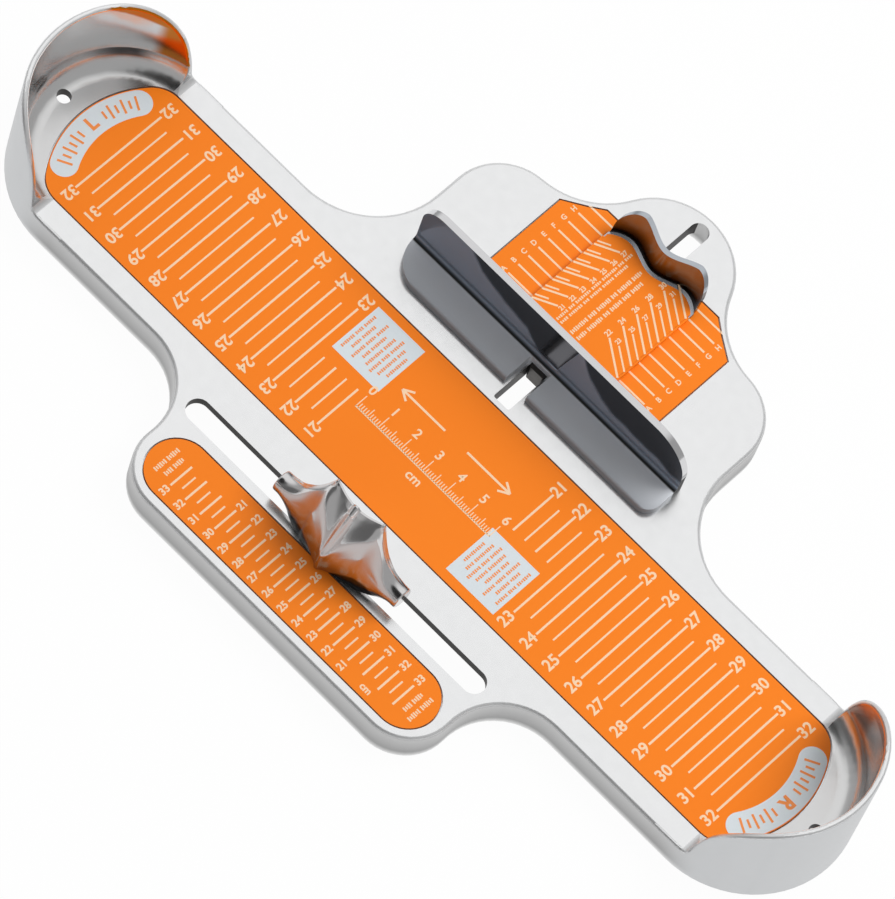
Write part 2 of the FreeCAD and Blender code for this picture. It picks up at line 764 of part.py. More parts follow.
def width_guide_block():
    """Block in the width slot, with a boss that reaches the keeper through the spring."""
    half = width_slot_width / 2.0 - block_side_clearance
    upper = round_box(-half, half, block_start_y, block_end_y, rail_z, slide_z,
                      width_slot_corner)
    tip = rod(half, 0.0, block_end_y - half, rail_z, slide_z)
    upper = upper.common(box(-half, half, block_start_y, block_end_y - half, rail_z, slide_z))
    upper = upper.fuse(tip)
    boss = box(-half, half, width_keeper_mid_y - width_boss_half_length,
               width_keeper_mid_y + width_boss_half_length, rail_z - spring_space, rail_z)
    block = upper.fuse(boss).removeSplitter()
    holes = [screw_hole(0.0, y, rail_z - 2.0 * spring_space, rail_z - spring_space
                        + width_keeper_screw_length) for y in keeper_screw_y]
    return block.cut(slide_countersinks() + holes)


def keeper_plate(mid_x, mid_y, half_x, half_y, top, holes):
    plate = round_box(mid_x - half_x, mid_x + half_x, mid_y - half_y, mid_y + half_y,
                      top - keeper_thickness, top, keeper_corner_radius)
    return plate.cut([screw_hole(x, y, top - 2.0 * keeper_thickness, top + overrun)
                      for x, y in holes])


def width_keeper_plate():
    holes = [(0.0, y) for y in keeper_screw_y]
    return keeper_plate(0.0, width_keeper_mid_y, width_keeper_width / 2.0, width_keeper_half_length,
                        rail_z - spring_space, holes)


def leaf_spring(half_length, half_width, window_half_length, window_half_width, under_z):
    """Bowed strip along X with a window for the guide block's boss."""
    low = under_z - spring_space
    crown = under_z - spring_play
    ends = half_length
    bottom = Part.Arc(vec(-ends, low), vec(0.0, crown - spring_thickness), vec(ends, low)).toShape()
    top = Part.Arc(vec(-ends, low + spring_thickness), vec(0.0, crown),
                   vec(ends, low + spring_thickness)).toShape()
    sides = [line(vec(x, low), vec(x, low + spring_thickness)) for x in (-ends, ends)]
    face = outline_face([bottom, top] + sides)
    face.rotate(vec(0, 0), vec(1, 0, 0), 90)
    strip = face.extrude(vec(0, -2.0 * half_width, 0)).translated(vec(0, half_width, 0))
    window = box(-window_half_length, window_half_length, -window_half_width, window_half_width,
                 low - overrun, crown + overrun)
    return strip.cut(window)


def width_spring():
    strip = leaf_spring(width_keeper_half_length - spring_end_inset,
                        width_keeper_width / 2.0 - spring_side_inset,
                        width_boss_half_length + joint_gap, width_slot_width / 2.0, rail_z)
    strip.rotate(vec(0, 0), vec(0, 0, 1), 90)
    return strip.translated(vec(0, width_keeper_mid_y, 0))


def width_keeper_screws():
    seat = rail_z - spring_space - keeper_thickness - washer_thickness
    length = keeper_thickness + washer_thickness + width_keeper_screw_length - screw_end_gap
    return Part.makeCompound([pan_screw(0.0, y, seat, length) for y in keeper_screw_y])


def width_lock_washers():
    seat = rail_z - spring_space - keeper_thickness
    return Part.makeCompound([lock_washer(0.0, y, seat) for y in keeper_screw_y])


# ================================================================ arch pointer
def pointer_section(x, face, base, heights):
    """One upright cut across the pointer, its top a curve from the foot side to the scale side."""
    profile = Part.BSplineCurve()
    profile.interpolate([vec(x, y, z) for y, z in heights])
    top_back = vec(x, heights[0][0], heights[0][1])
    top_front = vec(x, heights[-1][0], heights[-1][1])
    base_back = vec(x, face, base)
    base_front = vec(x, heights[-1][0], base)
    return Part.Wire([
        line(base_back, top_back),
        profile.toShape(),
        line(top_front, base_front),
        line(base_front, base_back),
    ])


def edge_reach(x):
    """How far the scale-side edge stands out, from the tip to the barrel."""
    share = min(x / barrel_start_x, 1.0)
    return pointer_reach + (barrel_radius - pointer_reach) * share


def edge_height(x):
    share = min(x / barrel_start_x, 1.0)
    return pointer_tip_height + (pointer_edge_height - pointer_tip_height) * share


def between(first, second, share):
    return (first[0] + (second[0] - first[0]) * share, first[1] + (second[1] - first[1]) * share)


def ridge_section():
    """Cut along the middle ridge, from the hollow between the prongs straight to the tip."""
    face = pointer_face - pointer_socket
    crest = (face, pointer_height - pointer_crest_dip)
    tip = (-pointer_reach, pointer_tip_height)
    third, two_thirds = 1.0 / 3.0, 2.0 / 3.0
    return pointer_section(0.0, face, 0.0,
                           [crest, between(crest, tip, third), between(crest, tip, two_thirds), tip])


def valley_section():
    """Cut through a valley and over the outer ridge that runs from a prong to the tip."""
    share = valley_x / pointer_prong_half
    face = pointer_face - pointer_socket * (1.0 - share ** 2)
    crest = (face, pointer_height - pointer_crest_dip * (1.0 - share))
    ridge = between((-pointer_reach, pointer_tip_height), (pointer_face, pointer_height), share)
    floor = between(ridge, crest, 0.5)
    return pointer_section(valley_x, face, 0.0,
                           [crest, (floor[0], floor[1] - valley_scoop), ridge,
                            (-edge_reach(valley_x), edge_height(valley_x))])


def flank_section(x, crest, sag):
    """Cut down a hollow flank from a prong or a saddle to the scale-side edge."""
    edge = (-edge_reach(x), edge_height(x))
    upper = between(crest, edge, 1.0 / 3.0)
    lower = between(crest, edge, 2.0 / 3.0)
    return pointer_section(x, crest[0], 0.0, [crest, (upper[0], upper[1] - sag),
                                              (lower[0], lower[1] - sag), edge])


def barrel_section():
    """The body's end, just inside the barrel."""
    r = barrel_radius - barrel_inset
    side, rise = r * math.cos(math.radians(35)), r * math.sin(math.radians(35))
    near, high = r * math.cos(math.radians(70)), r * math.sin(math.radians(70))
    axis = barrel_axis_height
    return pointer_section(barrel_start_x, side, axis - rise,
                           [(side, axis + rise), (near, axis + high), (-near, axis + high),
                            (-side, axis + rise)])


def pointer_half():
    """Half of the pointer body: ridge, valley, prong, saddle and barrel grip."""
    loft = Part.makeLoft([
        ridge_section(),
        valley_section(),
        flank_section(pointer_prong_half, (pointer_face, pointer_height), valley_scoop),
        flank_section(saddle_x, (pointer_face, saddle_height), 0.0),
        barrel_section(),
    ], True, False)
    above = box(0.0, pointer_half_length, -pointer_reach, pointer_face + overrun, 0.0,
                pointer_height + overrun)
    barrel = Part.makeCylinder(barrel_radius, pointer_half_length - saddle_x,
                               vec(saddle_x, 0, barrel_axis_height), vec(1, 0, 0))
    return loft.common(above).fuse(barrel)


def arch_screw_places():
    return [-arch_screw_offset, arch_screw_offset]


def at_rest(piece):
    """Moves a piece of the pointer from the slot's middle to where it stands at rest."""
    return piece.translated(vec(pointer_rest_x, 0))


def arch_pointer():
    half = pointer_half()
    body = half.fuse(half.mirror(vec(0, 0), vec(1, 0, 0)))
    body = body.translated(vec(0, arch_slot_y, slide_z))
    pocket = round_box(-pocket_half_length, pocket_half_length, arch_slot_y - pocket_front,
                       arch_slot_y + pocket_back, slide_z - overrun, slide_z + pocket_height,
                      pocket_corner)
    seat = arch_keeper_z - keeper_thickness - washer_thickness
    holes = [screw_hole(x, arch_slot_y, slide_z - overrun, seat + arch_screw_length
                        + screw_end_gap) for x in arch_screw_places()]
    return at_rest(body.cut([pocket] + holes))


def arch_guide_block():
    """Block in the arch slot, with a boss that reaches the keeper through the spring."""
    half = arch_slot_width / 2.0 - block_side_clearance
    upper = slab(capsule_face(arch_block_half, half, arch_slot_y), deck_z, slide_z)
    boss = box(-arch_boss_half_length, arch_boss_half_length, arch_slot_y - half,
               arch_slot_y + half, arch_keeper_z, deck_z)
    block = upper.fuse(boss).removeSplitter()
    return at_rest(block.cut([screw_hole(x, arch_slot_y, 0.0, slide_z + overrun)
                              for x in arch_screw_places()]))


def arch_keeper_plate():
    holes = [(x, arch_slot_y) for x in arch_screw_places()]
    return at_rest(keeper_plate(0.0, arch_slot_y, arch_keeper_half_length,
                                arch_keeper_width / 2.0, arch_keeper_z, holes))


def arch_spring():
    strip = leaf_spring(arch_keeper_half_length - spring_end_inset,
                        arch_keeper_width / 2.0 - spring_side_inset,
                        arch_boss_half_length + joint_gap, arch_slot_width / 2.0, deck_z)
    return at_rest(strip.translated(vec(0, arch_slot_y, 0)))


def arch_screws():
    seat = arch_keeper_z - keeper_thickness - washer_thickness
    screws = [pan_screw(x, arch_slot_y, seat, arch_screw_length) for x in arch_screw_places()]
    return at_rest(Part.makeCompound(screws))


def arch_lock_washers():
    seat = arch_keeper_z - keeper_thickness
    washers = [lock_washer(x, arch_slot_y, seat) for x in arch_screw_places()]
    return at_rest(Part.makeCompound(washers))


# ================================================================ all pieces
pieces = [
    base_casting, main_scale_plate, main_plate_adhesive, arch_scale_plate, arch_plate_adhesive,
    width_scale_plate_left, width_scale_plate_right, width_plate_adhesive,
    width_bar, slide_carriage, finger_pull, slide_plate_adhesive, slide_scale_plate, slide_screws,
    width_guide_block, width_keeper_plate, width_spring, width_keeper_screws, width_lock_washers,
    arch_pointer, arch_guide_block, arch_keeper_plate, arch_spring, arch_screws, arch_lock_washers,
]

os.makedirs("parts", exist_ok=True)
for piece in pieces:
    shape = piece().translated(vec(0, -centre_y, 0))
    shape.exportStep("parts/" + piece.__name__ + ".step")
    print(piece.__name__, len(shape.Solids), "solids", round(shape.Volume, 1), "mm3", shape.isValid())
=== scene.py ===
import math

import bmesh
import bpy
from mathutils import Matrix, Vector


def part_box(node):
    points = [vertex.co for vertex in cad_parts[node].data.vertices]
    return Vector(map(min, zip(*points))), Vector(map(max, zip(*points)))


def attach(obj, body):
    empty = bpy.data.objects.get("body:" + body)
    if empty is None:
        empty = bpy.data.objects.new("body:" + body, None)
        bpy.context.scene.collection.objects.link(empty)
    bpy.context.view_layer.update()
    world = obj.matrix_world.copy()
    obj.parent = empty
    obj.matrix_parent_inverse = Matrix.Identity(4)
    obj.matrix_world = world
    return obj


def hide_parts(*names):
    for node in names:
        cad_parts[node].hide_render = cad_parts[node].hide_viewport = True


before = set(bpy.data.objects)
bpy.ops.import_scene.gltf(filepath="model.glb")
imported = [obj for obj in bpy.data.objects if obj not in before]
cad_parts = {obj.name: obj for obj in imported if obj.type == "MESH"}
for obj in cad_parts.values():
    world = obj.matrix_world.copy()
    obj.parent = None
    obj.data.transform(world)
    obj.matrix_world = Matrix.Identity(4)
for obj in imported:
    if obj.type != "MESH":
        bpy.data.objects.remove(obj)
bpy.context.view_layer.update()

# A foot measuring device: polished casting with two heel cups, printed scale plates, a bright
# width bar on its slide and a cast arch pointer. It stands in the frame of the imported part. Blender
# is given metres; numbers that are read off the device itself are in millimetres.

mm = 0.001

# ---------------------------------------------------------------- places taken from the frame
plate_low, plate_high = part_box("main_scale_plate")
arch_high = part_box("arch_scale_plate")[1]
width_left_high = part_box("width_scale_plate_left")[1]
slide_low, slide_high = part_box("slide_scale_plate")
casting_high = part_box("base_casting")[1]
bar_low, bar_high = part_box("width_bar")
pull_low, pull_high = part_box("finger_pull")
pointer_low, pointer_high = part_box("arch_pointer")

heel_line = (plate_low.y + plate_high.y) / 2.0
heel_face = casting_high.x - 2.2 * mm        # inner face of a cup wall: the scale's zero line
pointer_mid = (pointer_low.x + pointer_high.x) / 2.0
bar_root = bar_low.z + 5.2 * mm              # where the bar's wall leaves its root radius

ink = 0.03 * mm                              # thickness of the printing
patch = 0.02 * mm                            # thickness of the pale fields
weld = 0.0005 * mm                           # corners closer than this are one corner


def about_heel_line(point):
    """A place in millimetres about the middle of the heel line."""
    return point.x / mm, (point.y - heel_line) / mm, point.z / mm


# ---------------------------------------------------------------- shapes read from the part
# millimetres about the middle of the heel line, heights from the floor
deck_top = plate_high.z / mm + 0.05          # the plates lie a little below the deck
arch_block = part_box("arch_guide_block")
arch_slot_y = about_heel_line((arch_block[0] + arch_block[1]) / 2)[1]
arch_slot_half = 4.3
arch_slot_reach = 67.0
width_slot_half = 3.4
width_slot_inner = 29.0
width_slot_outer = 125.0
slot_margin = 0.3                            # the slots' rounded rims belong to their walls
heel_hole_x = 169.3
heel_hole_reach = 3.0
cup_centre_x = 141.4
cup_start_x = 147.5
cup_inner = 35.6
cup_radius = 34.5                            # inner radius at the foot of a cup's wall
cup_floor_climb = 7.9                        # above the deck, where the wall's finish takes over
cup_rim_start = 38.0                         # from this height the painted orange reflection spreads under the rim
cup_fade = (136.0, 154.0)                    # the side walls brighten here toward each cup, where their painted reflection band fades out
deck_slack = 0.05                            # a cup's faces begin this little below the deck
rim_depth = 4.0                              # how far below the deck a sloping face is its edge
level_enough = 0.985                         # a face with less upward normal than this slopes
metal_sharp = 32.0                           # edges that turn by more degrees than this stay sharp
bar_face_y = 49.8                            # inner face of the bar's wall
flange_gap = 0.9                             # from that face to where the flange is flat
flange_top = 4.6                             # upper face of the flange, above the deck
wall_foot = 8.0                              # below this, above the deck, all of the bar is wall
fold_x, fold_z = 19.2, 13.62                 # middle of the slide's folded edges
fold_wide, fold_high = 0.66, 2.0
fold_short = 4.6                             # the folds stop short of the slide's outer end
fold_round = 0.15
edge_line_width = 0.12                       # painted shade line round each fixed plate
plate_arc_x = 122.9                          # centre of the round ends of the long plate
badge_inner = 28.9                           # pale field at a plate's end: radii and half its angle
badge_outer = 38.2
badge_reach = 30.0

bar_crease = heel_line + bar_face_y * mm     # in metres, for the finishes


# ================================================================ shader maths
class Wire:
    """A number socket that takes part in arithmetic; each sum or product adds its own node."""

    def __init__(self, finish, socket):
        self.finish = finish
        self.socket = socket

    def made(self, operation, first, second):
        maths = self.finish.add("ShaderNodeMath", {"operation": operation}, {0: first, 1: second})
        return maths.value("Value")

    def __add__(self, other):
        return self.made("ADD", self, other)

    def __radd__(self, other):
        return self.made("ADD", other, self)

    def __sub__(self, other):
        return self.made("SUBTRACT", self, other)

    def __rsub__(self, other):
        return self.made("SUBTRACT", other, self)

    def __mul__(self, other):
        return self.made("MULTIPLY", self, other)

    def __truediv__(self, other):
        return self.made("DIVIDE", self, other)

    def over(self, other):
        return self.made("MAXIMUM", self, other)


class Placed:
    """A node that has been set up, ready to hand out its sockets."""

    def __init__(self, finish, node):
        self.finish = finish
        self.node = node

    def value(self, name):
        return Wire(self.finish, self.node.outputs[name])

    def out(self, name):
        return self.node.outputs[name]


class Finish:
    """A node tree that is written down one node at a time."""

    def __init__(self, owner):
        self.owner = owner
        owner.use_nodes = True
        self.tree = owner.node_tree
        self.tree.nodes.clear()

    def add(self, kind, settings=None, sockets=None):
        """Adds a node; a socket is given a number or colour, or is linked to another's output."""
        node = self.tree.nodes.new(kind)
        for name, setting in (settings or {}).items():
            setattr(node, name, setting)
        for name, source in (sockets or {}).items():
            if isinstance(source, Wire):
                source = source.socket
            if isinstance(source, bpy.types.NodeSocket):
                self.tree.links.new(source, node.inputs[name])
            else:
                node.inputs[name].default_value = source
        return Placed(self, node)

    def object_place(self):
        return self.add("ShaderNodeTexCoord").out("Object")

    def split_place(self):
        """The place on the object, to be read as X, Y and Z."""
        return self.add("ShaderNodeSeparateXYZ", None, {0: self.object_place()})

    def noise(self, scale, detail=2.0, stretch=(1.0, 1.0, 1.0)):
        """Soft clouds between 0 and 1, fixed to the object, finer with a larger scale."""
        mapping = self.add("ShaderNodeMapping", None, {
            "Vector": self.object_place(), "Scale": stretch})
        noise = self.add("ShaderNodeTexNoise", None, {
            "Vector": mapping.out("Vector"), "Scale": scale, "Detail": detail})
        return noise.value("Fac")

    def rise(self, value, low, high):
        """A share that grows from 0 to 1 between two values, slowly at both ends."""
        return self.add("ShaderNodeMapRange", {"interpolation_type": "SMOOTHSTEP"}, {
            "Value": value, "From Min": low, "From Max": high}).value("Result")

    def ramp(self, share, stops):
        """A colour that runs from stop to stop along a share."""
        placed = self.add("ShaderNodeValToRGB", None, {"Fac": share})
        elements = placed.node.color_ramp.elements
        while len(elements) < len(stops):
            elements.new(0.5)
        for element, (place, colour) in zip(elements, stops):
            element.position = place
            element.color = colour
        return placed.value("Color")

    def blend(self, share, first, second):
        """The first colour where the share is 0, the second where it is 1."""
        mix = self.add("ShaderNodeMix", {"data_type": "RGBA"}, {0: share, 6: first, 7: second})
        return mix.node.outputs[2]

    def bump(self, height, distance):
        bump = self.add("ShaderNodeBump", None, {"Height": height, "Distance": distance})
        return bump.out("Normal")

    def surface(self, shader):
        self.add("ShaderNodeOutputMaterial", None, {"Surface": shader})
        return self.owner

    def coat(self, sockets):
        """Ends the tree with one general shader and hands back the finish."""
        return self.surface(self.add("ShaderNodeBsdfPrincipled", None, sockets).out("BSDF"))


def grey(level):
    return (level, level, level, 1.0)


def new_finish(name):
    return Finish(bpy.data.materials.new(name))


# ================================================================ finishes
def polished_metal(name, tone, sheen, depth, worn=0.05):
    """Hand-polished cast metal: soft waves left by the wheel, faint haze and hairline scratches."""
    f = new_finish(name)
    waves = f.noise(60.0, 2.0)
    haze = f.noise(240.0, 4.0)
    scratches = f.noise(900.0, 1.0, (1.0, 0.06, 0.3))
    bumps = waves * depth + haze * (depth * 0.05)
    return f.coat({
        "Base Color": f.blend(haze, tone, tuple(c * 0.94 for c in tone[:3]) + (1.0,)),
        "Metallic": 1.0,
        "Roughness": sheen + haze * worn + scratches * (worn * 0.5),
        "Normal": f.bump(bumps, 1.0)})


def side_casting():
    """Satin side walls whose colour carries a painted reflection: a darker band low down, which fades
    out toward the cups.
    """
    f = new_finish("satin_aluminium_side_painted_reflection")
    place = f.split_place()
    across = place.value("X")
    cup = f.rise(across.over(across * -1.0), cup_fade[0] * mm, cup_fade[1] * mm)
    # painted reflection: the side wall's colour runs through a dark band with height, as a drafted
    # wall mirrors its surroundings
    band = f.ramp(place.value("Z") / plate_high.z, [
        (0.0, grey(0.85)), (0.10, grey(0.58)), (0.24, grey(0.34)), (0.45, grey(0.41)),
        (0.80, grey(0.50)), (1.0, grey(0.54))])
    haze = f.noise(240.0, 4.0)
    return f.coat({
        "Base Color": f.blend(cup, band, (0.60, 0.61, 0.62, 1.0)),
        "Metallic": 1.0,
        "Roughness": 0.36 + haze * 0.06,
        "Normal": f.bump(f.noise(60.0, 2.0), 0.01 * mm)})


def cup_place(f, place):
    """A point's share of the way to the width side, and 1 in the right cup, 0 in the left."""
    turned = (place.value("Y") - heel_line) / (cup_radius * mm)
    return turned, f.rise(place.value("X"), -10.0 * mm, 10.0 * mm)


def cup_floor_casting():
    """Hand-polished cup floor with painted shade: a little darker than the deck, and a dark arc at
    the foot of the wall, toward the width side.
    """
    f = new_finish("hand_polished_cup_painted_shade")
    place = f.split_place()
    turned, right = cup_place(f, place)
    foot = f.rise(place.value("Z") / mm, 15.6, 17.4)
    # painted shade: a dark arc where the floor runs into the wall, toward the width side, weaker in
    # the right cup
    arc = foot * f.rise(turned, 0.30, 0.66) * (1.0 - f.rise(turned, 0.76, 0.90))
    haze = f.noise(240.0, 4.0)
    return f.coat({
        "Base Color": f.blend(arc * (0.86 - right * 0.5), grey(0.72), grey(0.02)),
        "Metallic": 1.0,
        "Roughness": 0.20 + haze * 0.08,
        "Normal": f.bump(f.noise(60.0, 2.0), 0.05 * mm)})


def cup_wall_casting():
    """Bright cup wall with a painted reflection of the orange plates: warm brown at its end by the
    width side and under the rim there.
    """
    f = new_finish("polished_cup_wall_painted_reflection")
    place = f.split_place()
    turned, right = cup_place(f, place)
    under_rim = (place.value("Z") / mm - cup_rim_start).over(0.0)
    # painted reflection of the orange plates, from the wall's end by the width side and spreading
    # under the rim
    painted_orange_reflection = f.rise(turned + under_rim * 0.043, 0.84, 0.91)
    reflected_orange = f.blend(right, (0.70, 0.225, 0.012, 1.0), (0.62, 0.40, 0.32, 1.0))
    haze = f.noise(240.0, 4.0)
    return f.coat({
        "Base Color": f.blend(painted_orange_reflection, grey(0.95), reflected_orange),
        "Metallic": 1.0,
        "Roughness": 0.12 + haze * 0.06,
        "Normal": f.bump(f.noise(60.0, 2.0), 0.03 * mm)})


def plate_paint():
    """Orange enamel on a thin plate, level and slightly glossy, with a little orange peel."""
    f = new_finish("orange_enamel")
    cloud = f.noise(25.0, 3.0)
    peel = f.noise(1800.0, 1.0)
    return f.coat({
        "Base Color": f.blend(cloud, (1.0, 0.225, 0.010, 1.0), (1.0, 0.250, 0.015, 1.0)),
        "Specular IOR Level": 0.2,
        "Roughness": 0.42 + cloud * 0.06,
        "Normal": f.bump(peel, 0.002 * mm)})


def print_ink(name, light, dark):
    """Screen-printed ink, a touch uneven where the plate shows through."""
    f = new_finish(name)
    fade = f.noise(1500.0, 2.0)
    return f.coat({"Base Color": f.blend(fade, light, dark), "Roughness": 0.5 + fade * 0.1})


def film_glue():
    """Grey film between a plate and the metal below it."""
    f = new_finish("adhesive_film_grey")
    cloud = f.noise(80.0)
    return f.coat({"Base Color": f.blend(cloud, grey(0.10), grey(0.16)), "Roughness": 0.6})


def film_seam():
    """Painted shade: a dark line round each plate, standing for the shade in the gap between plate
    and casting.
    """
    f = new_finish("painted_plate_gap_shade")
    cloud = f.noise(300.0)
    return f.coat({
        "Base Color": f.blend(cloud, (0.035, 0.020, 0.012, 1.0), (0.060, 0.036, 0.022, 1.0)),
        "Roughness": 0.5 + cloud * 0.1})


def turned_metal(name, tone, sheen):
    """Plain machined metal for the blocks, keepers, springs and screws below the casting."""
    f = new_finish(name)
    grain = f.noise(700.0, 2.0, (1.0, 0.1, 1.0))
    return f.coat({
        "Base Color": f.blend(grain, tone, tuple(c * 0.8 for c in tone[:3]) + (1.0,)),
        "Metallic": 1.0,
        "Roughness": sheen + grain * 0.12,
        "Normal": f.bump(grain, 0.004 * mm)})


def wall_plating():
    """Dark plating on the bar's wall with a painted reflection: hazy grey low down, black above a
    wandering line, and painted shade at its root.
    """
    f = new_finish("bar_wall_painted_reflection")
    place = f.split_place()
    share = (place.value("Z") - bar_root) / (bar_high.z - bar_root)
    leaning = place.value("X") - (place.value("Z") - bar_root) * 0.21
    along = (leaning - bar_low.x) / (bar_high.x - bar_low.x)
    # painted reflection: where along the wall it turns from hazy grey to black
    line = f.ramp(along, [
        (0.0, grey(1.0)), (0.10, grey(0.80)), (0.20, grey(0.42)), (0.30, grey(0.26)),
        (0.40, grey(0.17)), (0.455, grey(0.0)), (0.54, grey(0.0)), (0.545, grey(0.75)),
        (0.62, grey(0.35)), (0.68, grey(0.18)), (0.78, grey(0.19)), (1.0, grey(0.08))])
    wander = f.noise(60.0, 2.0, (1.0, 0.2, 0.5))
    clear = f.rise(share - line * 1.5 + (wander - 0.5) * 0.35, -0.04, 0.10)
    # painted shade at the wall's root, below a painted hazy-grey reflection
    root = f.rise(share, -0.10, -0.04)
    haze = f.blend(root, grey(0.03), (0.32, 0.39, 0.49, 1.0))
    return f.coat({
        "Base Color": f.blend(clear, haze, (0.06, 0.06, 0.07, 1.0)),
        "Metallic": clear * 0.6 + 0.4,
        "Roughness": 0.10 + wander * 0.1,
        "Normal": f.bump(f.noise(60.0, 2.0), 0.004 * mm)})


def flange_plating():
    """Grey plating on the bar's flange that looks even: painted light brightens it toward the wall,
    against the wall's shadow, and painted shade darkens it where it runs into the wall.
    """
    f = new_finish("satin_flange_plating")
    across = f.split_place().value("Y")
    haze = f.noise(240.0, 4.0)
    # painted shade in the crease where the flange meets the wall
    root = f.rise(across, bar_crease - 1.9 * mm, bar_crease - 1.3 * mm)
    # painted light: brighter toward the wall, against the shadow the wall casts on the flange
    inward = (across - bar_low.y) / (bar_crease - bar_low.y)
    plating = f.blend(inward, (0.35, 0.37, 0.40, 1.0), (0.90, 0.93, 0.98, 1.0))
    return f.coat({
        "Base Color": f.blend(root, plating, grey(0.012)),
        "Roughness": 0.42 + haze * 0.05})


def flank_casting():
    """Buffed flanks of the pointer, painted darker than its top as shade, with painted shade in a
    long patch at their foot, where the shadow under them falls.
    """
    f = new_finish("buffed_pointer_side")
    place = f.split_place()
    shade_x, shade_half, shade_top = 12.5, 9.5, 5.5
    along = (place.value("X") - pointer_mid) / mm
    away = (along.over(along * -1.0) - shade_x) / shade_half
    height = (place.value("Z") - pointer_low.z) / mm
    waves = f.noise(60.0, 2.0)
    # painted shade along the foot of each flank
    out_of_painted_shade = f.rise(height + away * away * 6.0 - shade_top + (waves - 0.5) * 3.0, -1.0, 0.6)
    return f.coat({
        "Base Color": f.blend(out_of_painted_shade, (0.07, 0.075, 0.08, 1.0), (0.52, 0.48, 0.47, 1.0)),
        "Metallic": 1.0,
        "Roughness": 0.24 + waves * 0.04,
        "Normal": f.bump(waves, 0.02 * mm)})


def grip_plating():
    """Grey plating inside the finger grip, with painted shade: darker toward its foot."""
    f = new_finish("soft_grip_plating")
    height = f.split_place().value("Z")
    share = (height - pull_low.z) / (pull_high.z - pull_low.z) + (f.noise(70.0, 2.0) - 0.5) * 0.5
    # painted shade, deepening toward the grip's foot
    upper = f.rise(share, 0.15, 0.75)
    return f.coat({
        "Base Color": f.blend(upper, (0.05, 0.045, 0.045, 1.0), (0.28, 0.26, 0.26, 1.0)),
        "Metallic": 1.0,
        "Roughness": 0.20 + share * 0.04})


casting_shine = polished_metal("polished_aluminium", (0.91, 0.915, 0.92, 1.0), 0.20, 0.012 * mm)
cup_shine = cup_floor_casting()
cup_wall_shine = cup_wall_casting()
casting_side = side_casting()
casting_edge = polished_metal("brushed_aluminium_edge", (0.90, 0.905, 0.91, 1.0), 0.48, 0.01 * mm)
casting_under = polished_metal("as_cast_underside", (0.40, 0.40, 0.41, 1.0), 0.55, 0.03 * mm)
# painted shade: near-black walls in the slots and heel holes, where the light does not reach
slot_wall = polished_metal("painted_slot_shade", (0.035, 0.033, 0.032, 1.0), 0.45, 0.01 * mm)
bar_shine = polished_metal("bar_edge_plating", (0.70, 0.70, 0.71, 1.0), 0.12, 0.004 * mm, 0.03)
bar_back = polished_metal("bar_back_plating", (0.32, 0.32, 0.335, 1.0), 0.14, 0.004 * mm)
flange_satin = flange_plating()
wall_reflection_paint = wall_plating()
grip_shine = grip_plating()
rim_shine = polished_metal("bright_grip_rim", (0.50, 0.53, 0.57, 1.0), 0.22, 0.004 * mm)
pointer_shine = polished_metal("bright_pointer_casting", (0.72, 0.71, 0.71, 1.0), 0.15, 0.02 * mm)
pointer_side = flank_casting()
plate_orange = plate_paint()
cream_ink = print_ink("cream_ink", (1.0, 0.74, 0.50, 1.0), (1.0, 0.66, 0.40, 1.0))
pale_field = print_ink("pale_field", (0.74, 0.80, 0.83, 1.0), (0.70, 0.76, 0.80, 1.0))
orange_ink = print_ink("orange_ink", (0.95, 0.27, 0.05, 1.0), (0.95, 0.33, 0.09, 1.0))
glue_grey = film_glue()
# dark line painted round each plate as the shade in its gap
painted_gap_shadow = film_seam()
block_dark = turned_metal("blackened_guide_steel", (0.09, 0.085, 0.08, 1.0), 0.34)
keeper_steel = turned_metal("plain_steel_machined", (0.55, 0.55, 0.56, 1.0), 0.28)

node_finishes = {
    "base_casting": casting_shine,
    "main_scale_plate": plate_orange, "arch_scale_plate": plate_orange,
    "width_scale_plate_left": plate_orange, "width_scale_plate_right": plate_orange,
    "slide_scale_plate": plate_orange,
    "main_plate_adhesive": glue_grey, "arch_plate_adhesive": glue_grey,
    "width_plate_adhesive": glue_grey, "slide_plate_adhesive": glue_grey,
    "width_bar": bar_shine, "slide_carriage": bar_shine,
    "finger_pull": grip_shine, "arch_pointer": pointer_shine,
    "width_guide_block": block_dark, "arch_guide_block": block_dark,
}
for name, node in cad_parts.items():
    node.data.materials.clear()
    node.data.materials.append(node_finishes.get(name, keeper_steel))


# ================================================================ making pieces
def new_object(name, data):
    """Puts a mesh, lamp, camera or text into the scene."""
    made = bpy.data.objects.new(name, data)
    bpy.context.scene.collection.objects.link(made)
    return made


def finished(bm, name, body, finishes, sharp=35.0, stands_for=None):
    """Shades a mesh smooth between its sharp edges and puts it on its body."""
    limit = math.radians(sharp)
    for edge in bm.edges:
        edge.smooth = len(edge.link_faces) == 2 and edge.calc_face_angle(0.0) < limit
    for face in bm.faces:
        face.smooth = True
    mesh = bpy.data.meshes.new(name)
    bm.to_mesh(mesh)
    bm.free()
    for finish in finishes:
        mesh.materials.append(finish)
    piece = new_object(name, mesh)
    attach(piece, body)
    if stands_for:
        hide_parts(stands_for)
    return piece


def copy_of(node):
    """The node's own surface with its loose triangles joined up."""
    bm = bmesh.new()
    bm.from_mesh(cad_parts[node].data)
    bmesh.ops.remove_doubles(bm, verts=bm.verts, dist=weld)
    bmesh.ops.dissolve_degenerate(bm, edges=bm.edges, dist=weld)
    return bm


def even_normals(piece):
    """Lets large faces set the shading, so flat metal stays flat beside a fillet."""
    weigh = piece.modifiers.new("even_normals", "WEIGHTED_NORMAL")
    weigh.mode = "FACE_AREA"
    weigh.keep_sharp = True


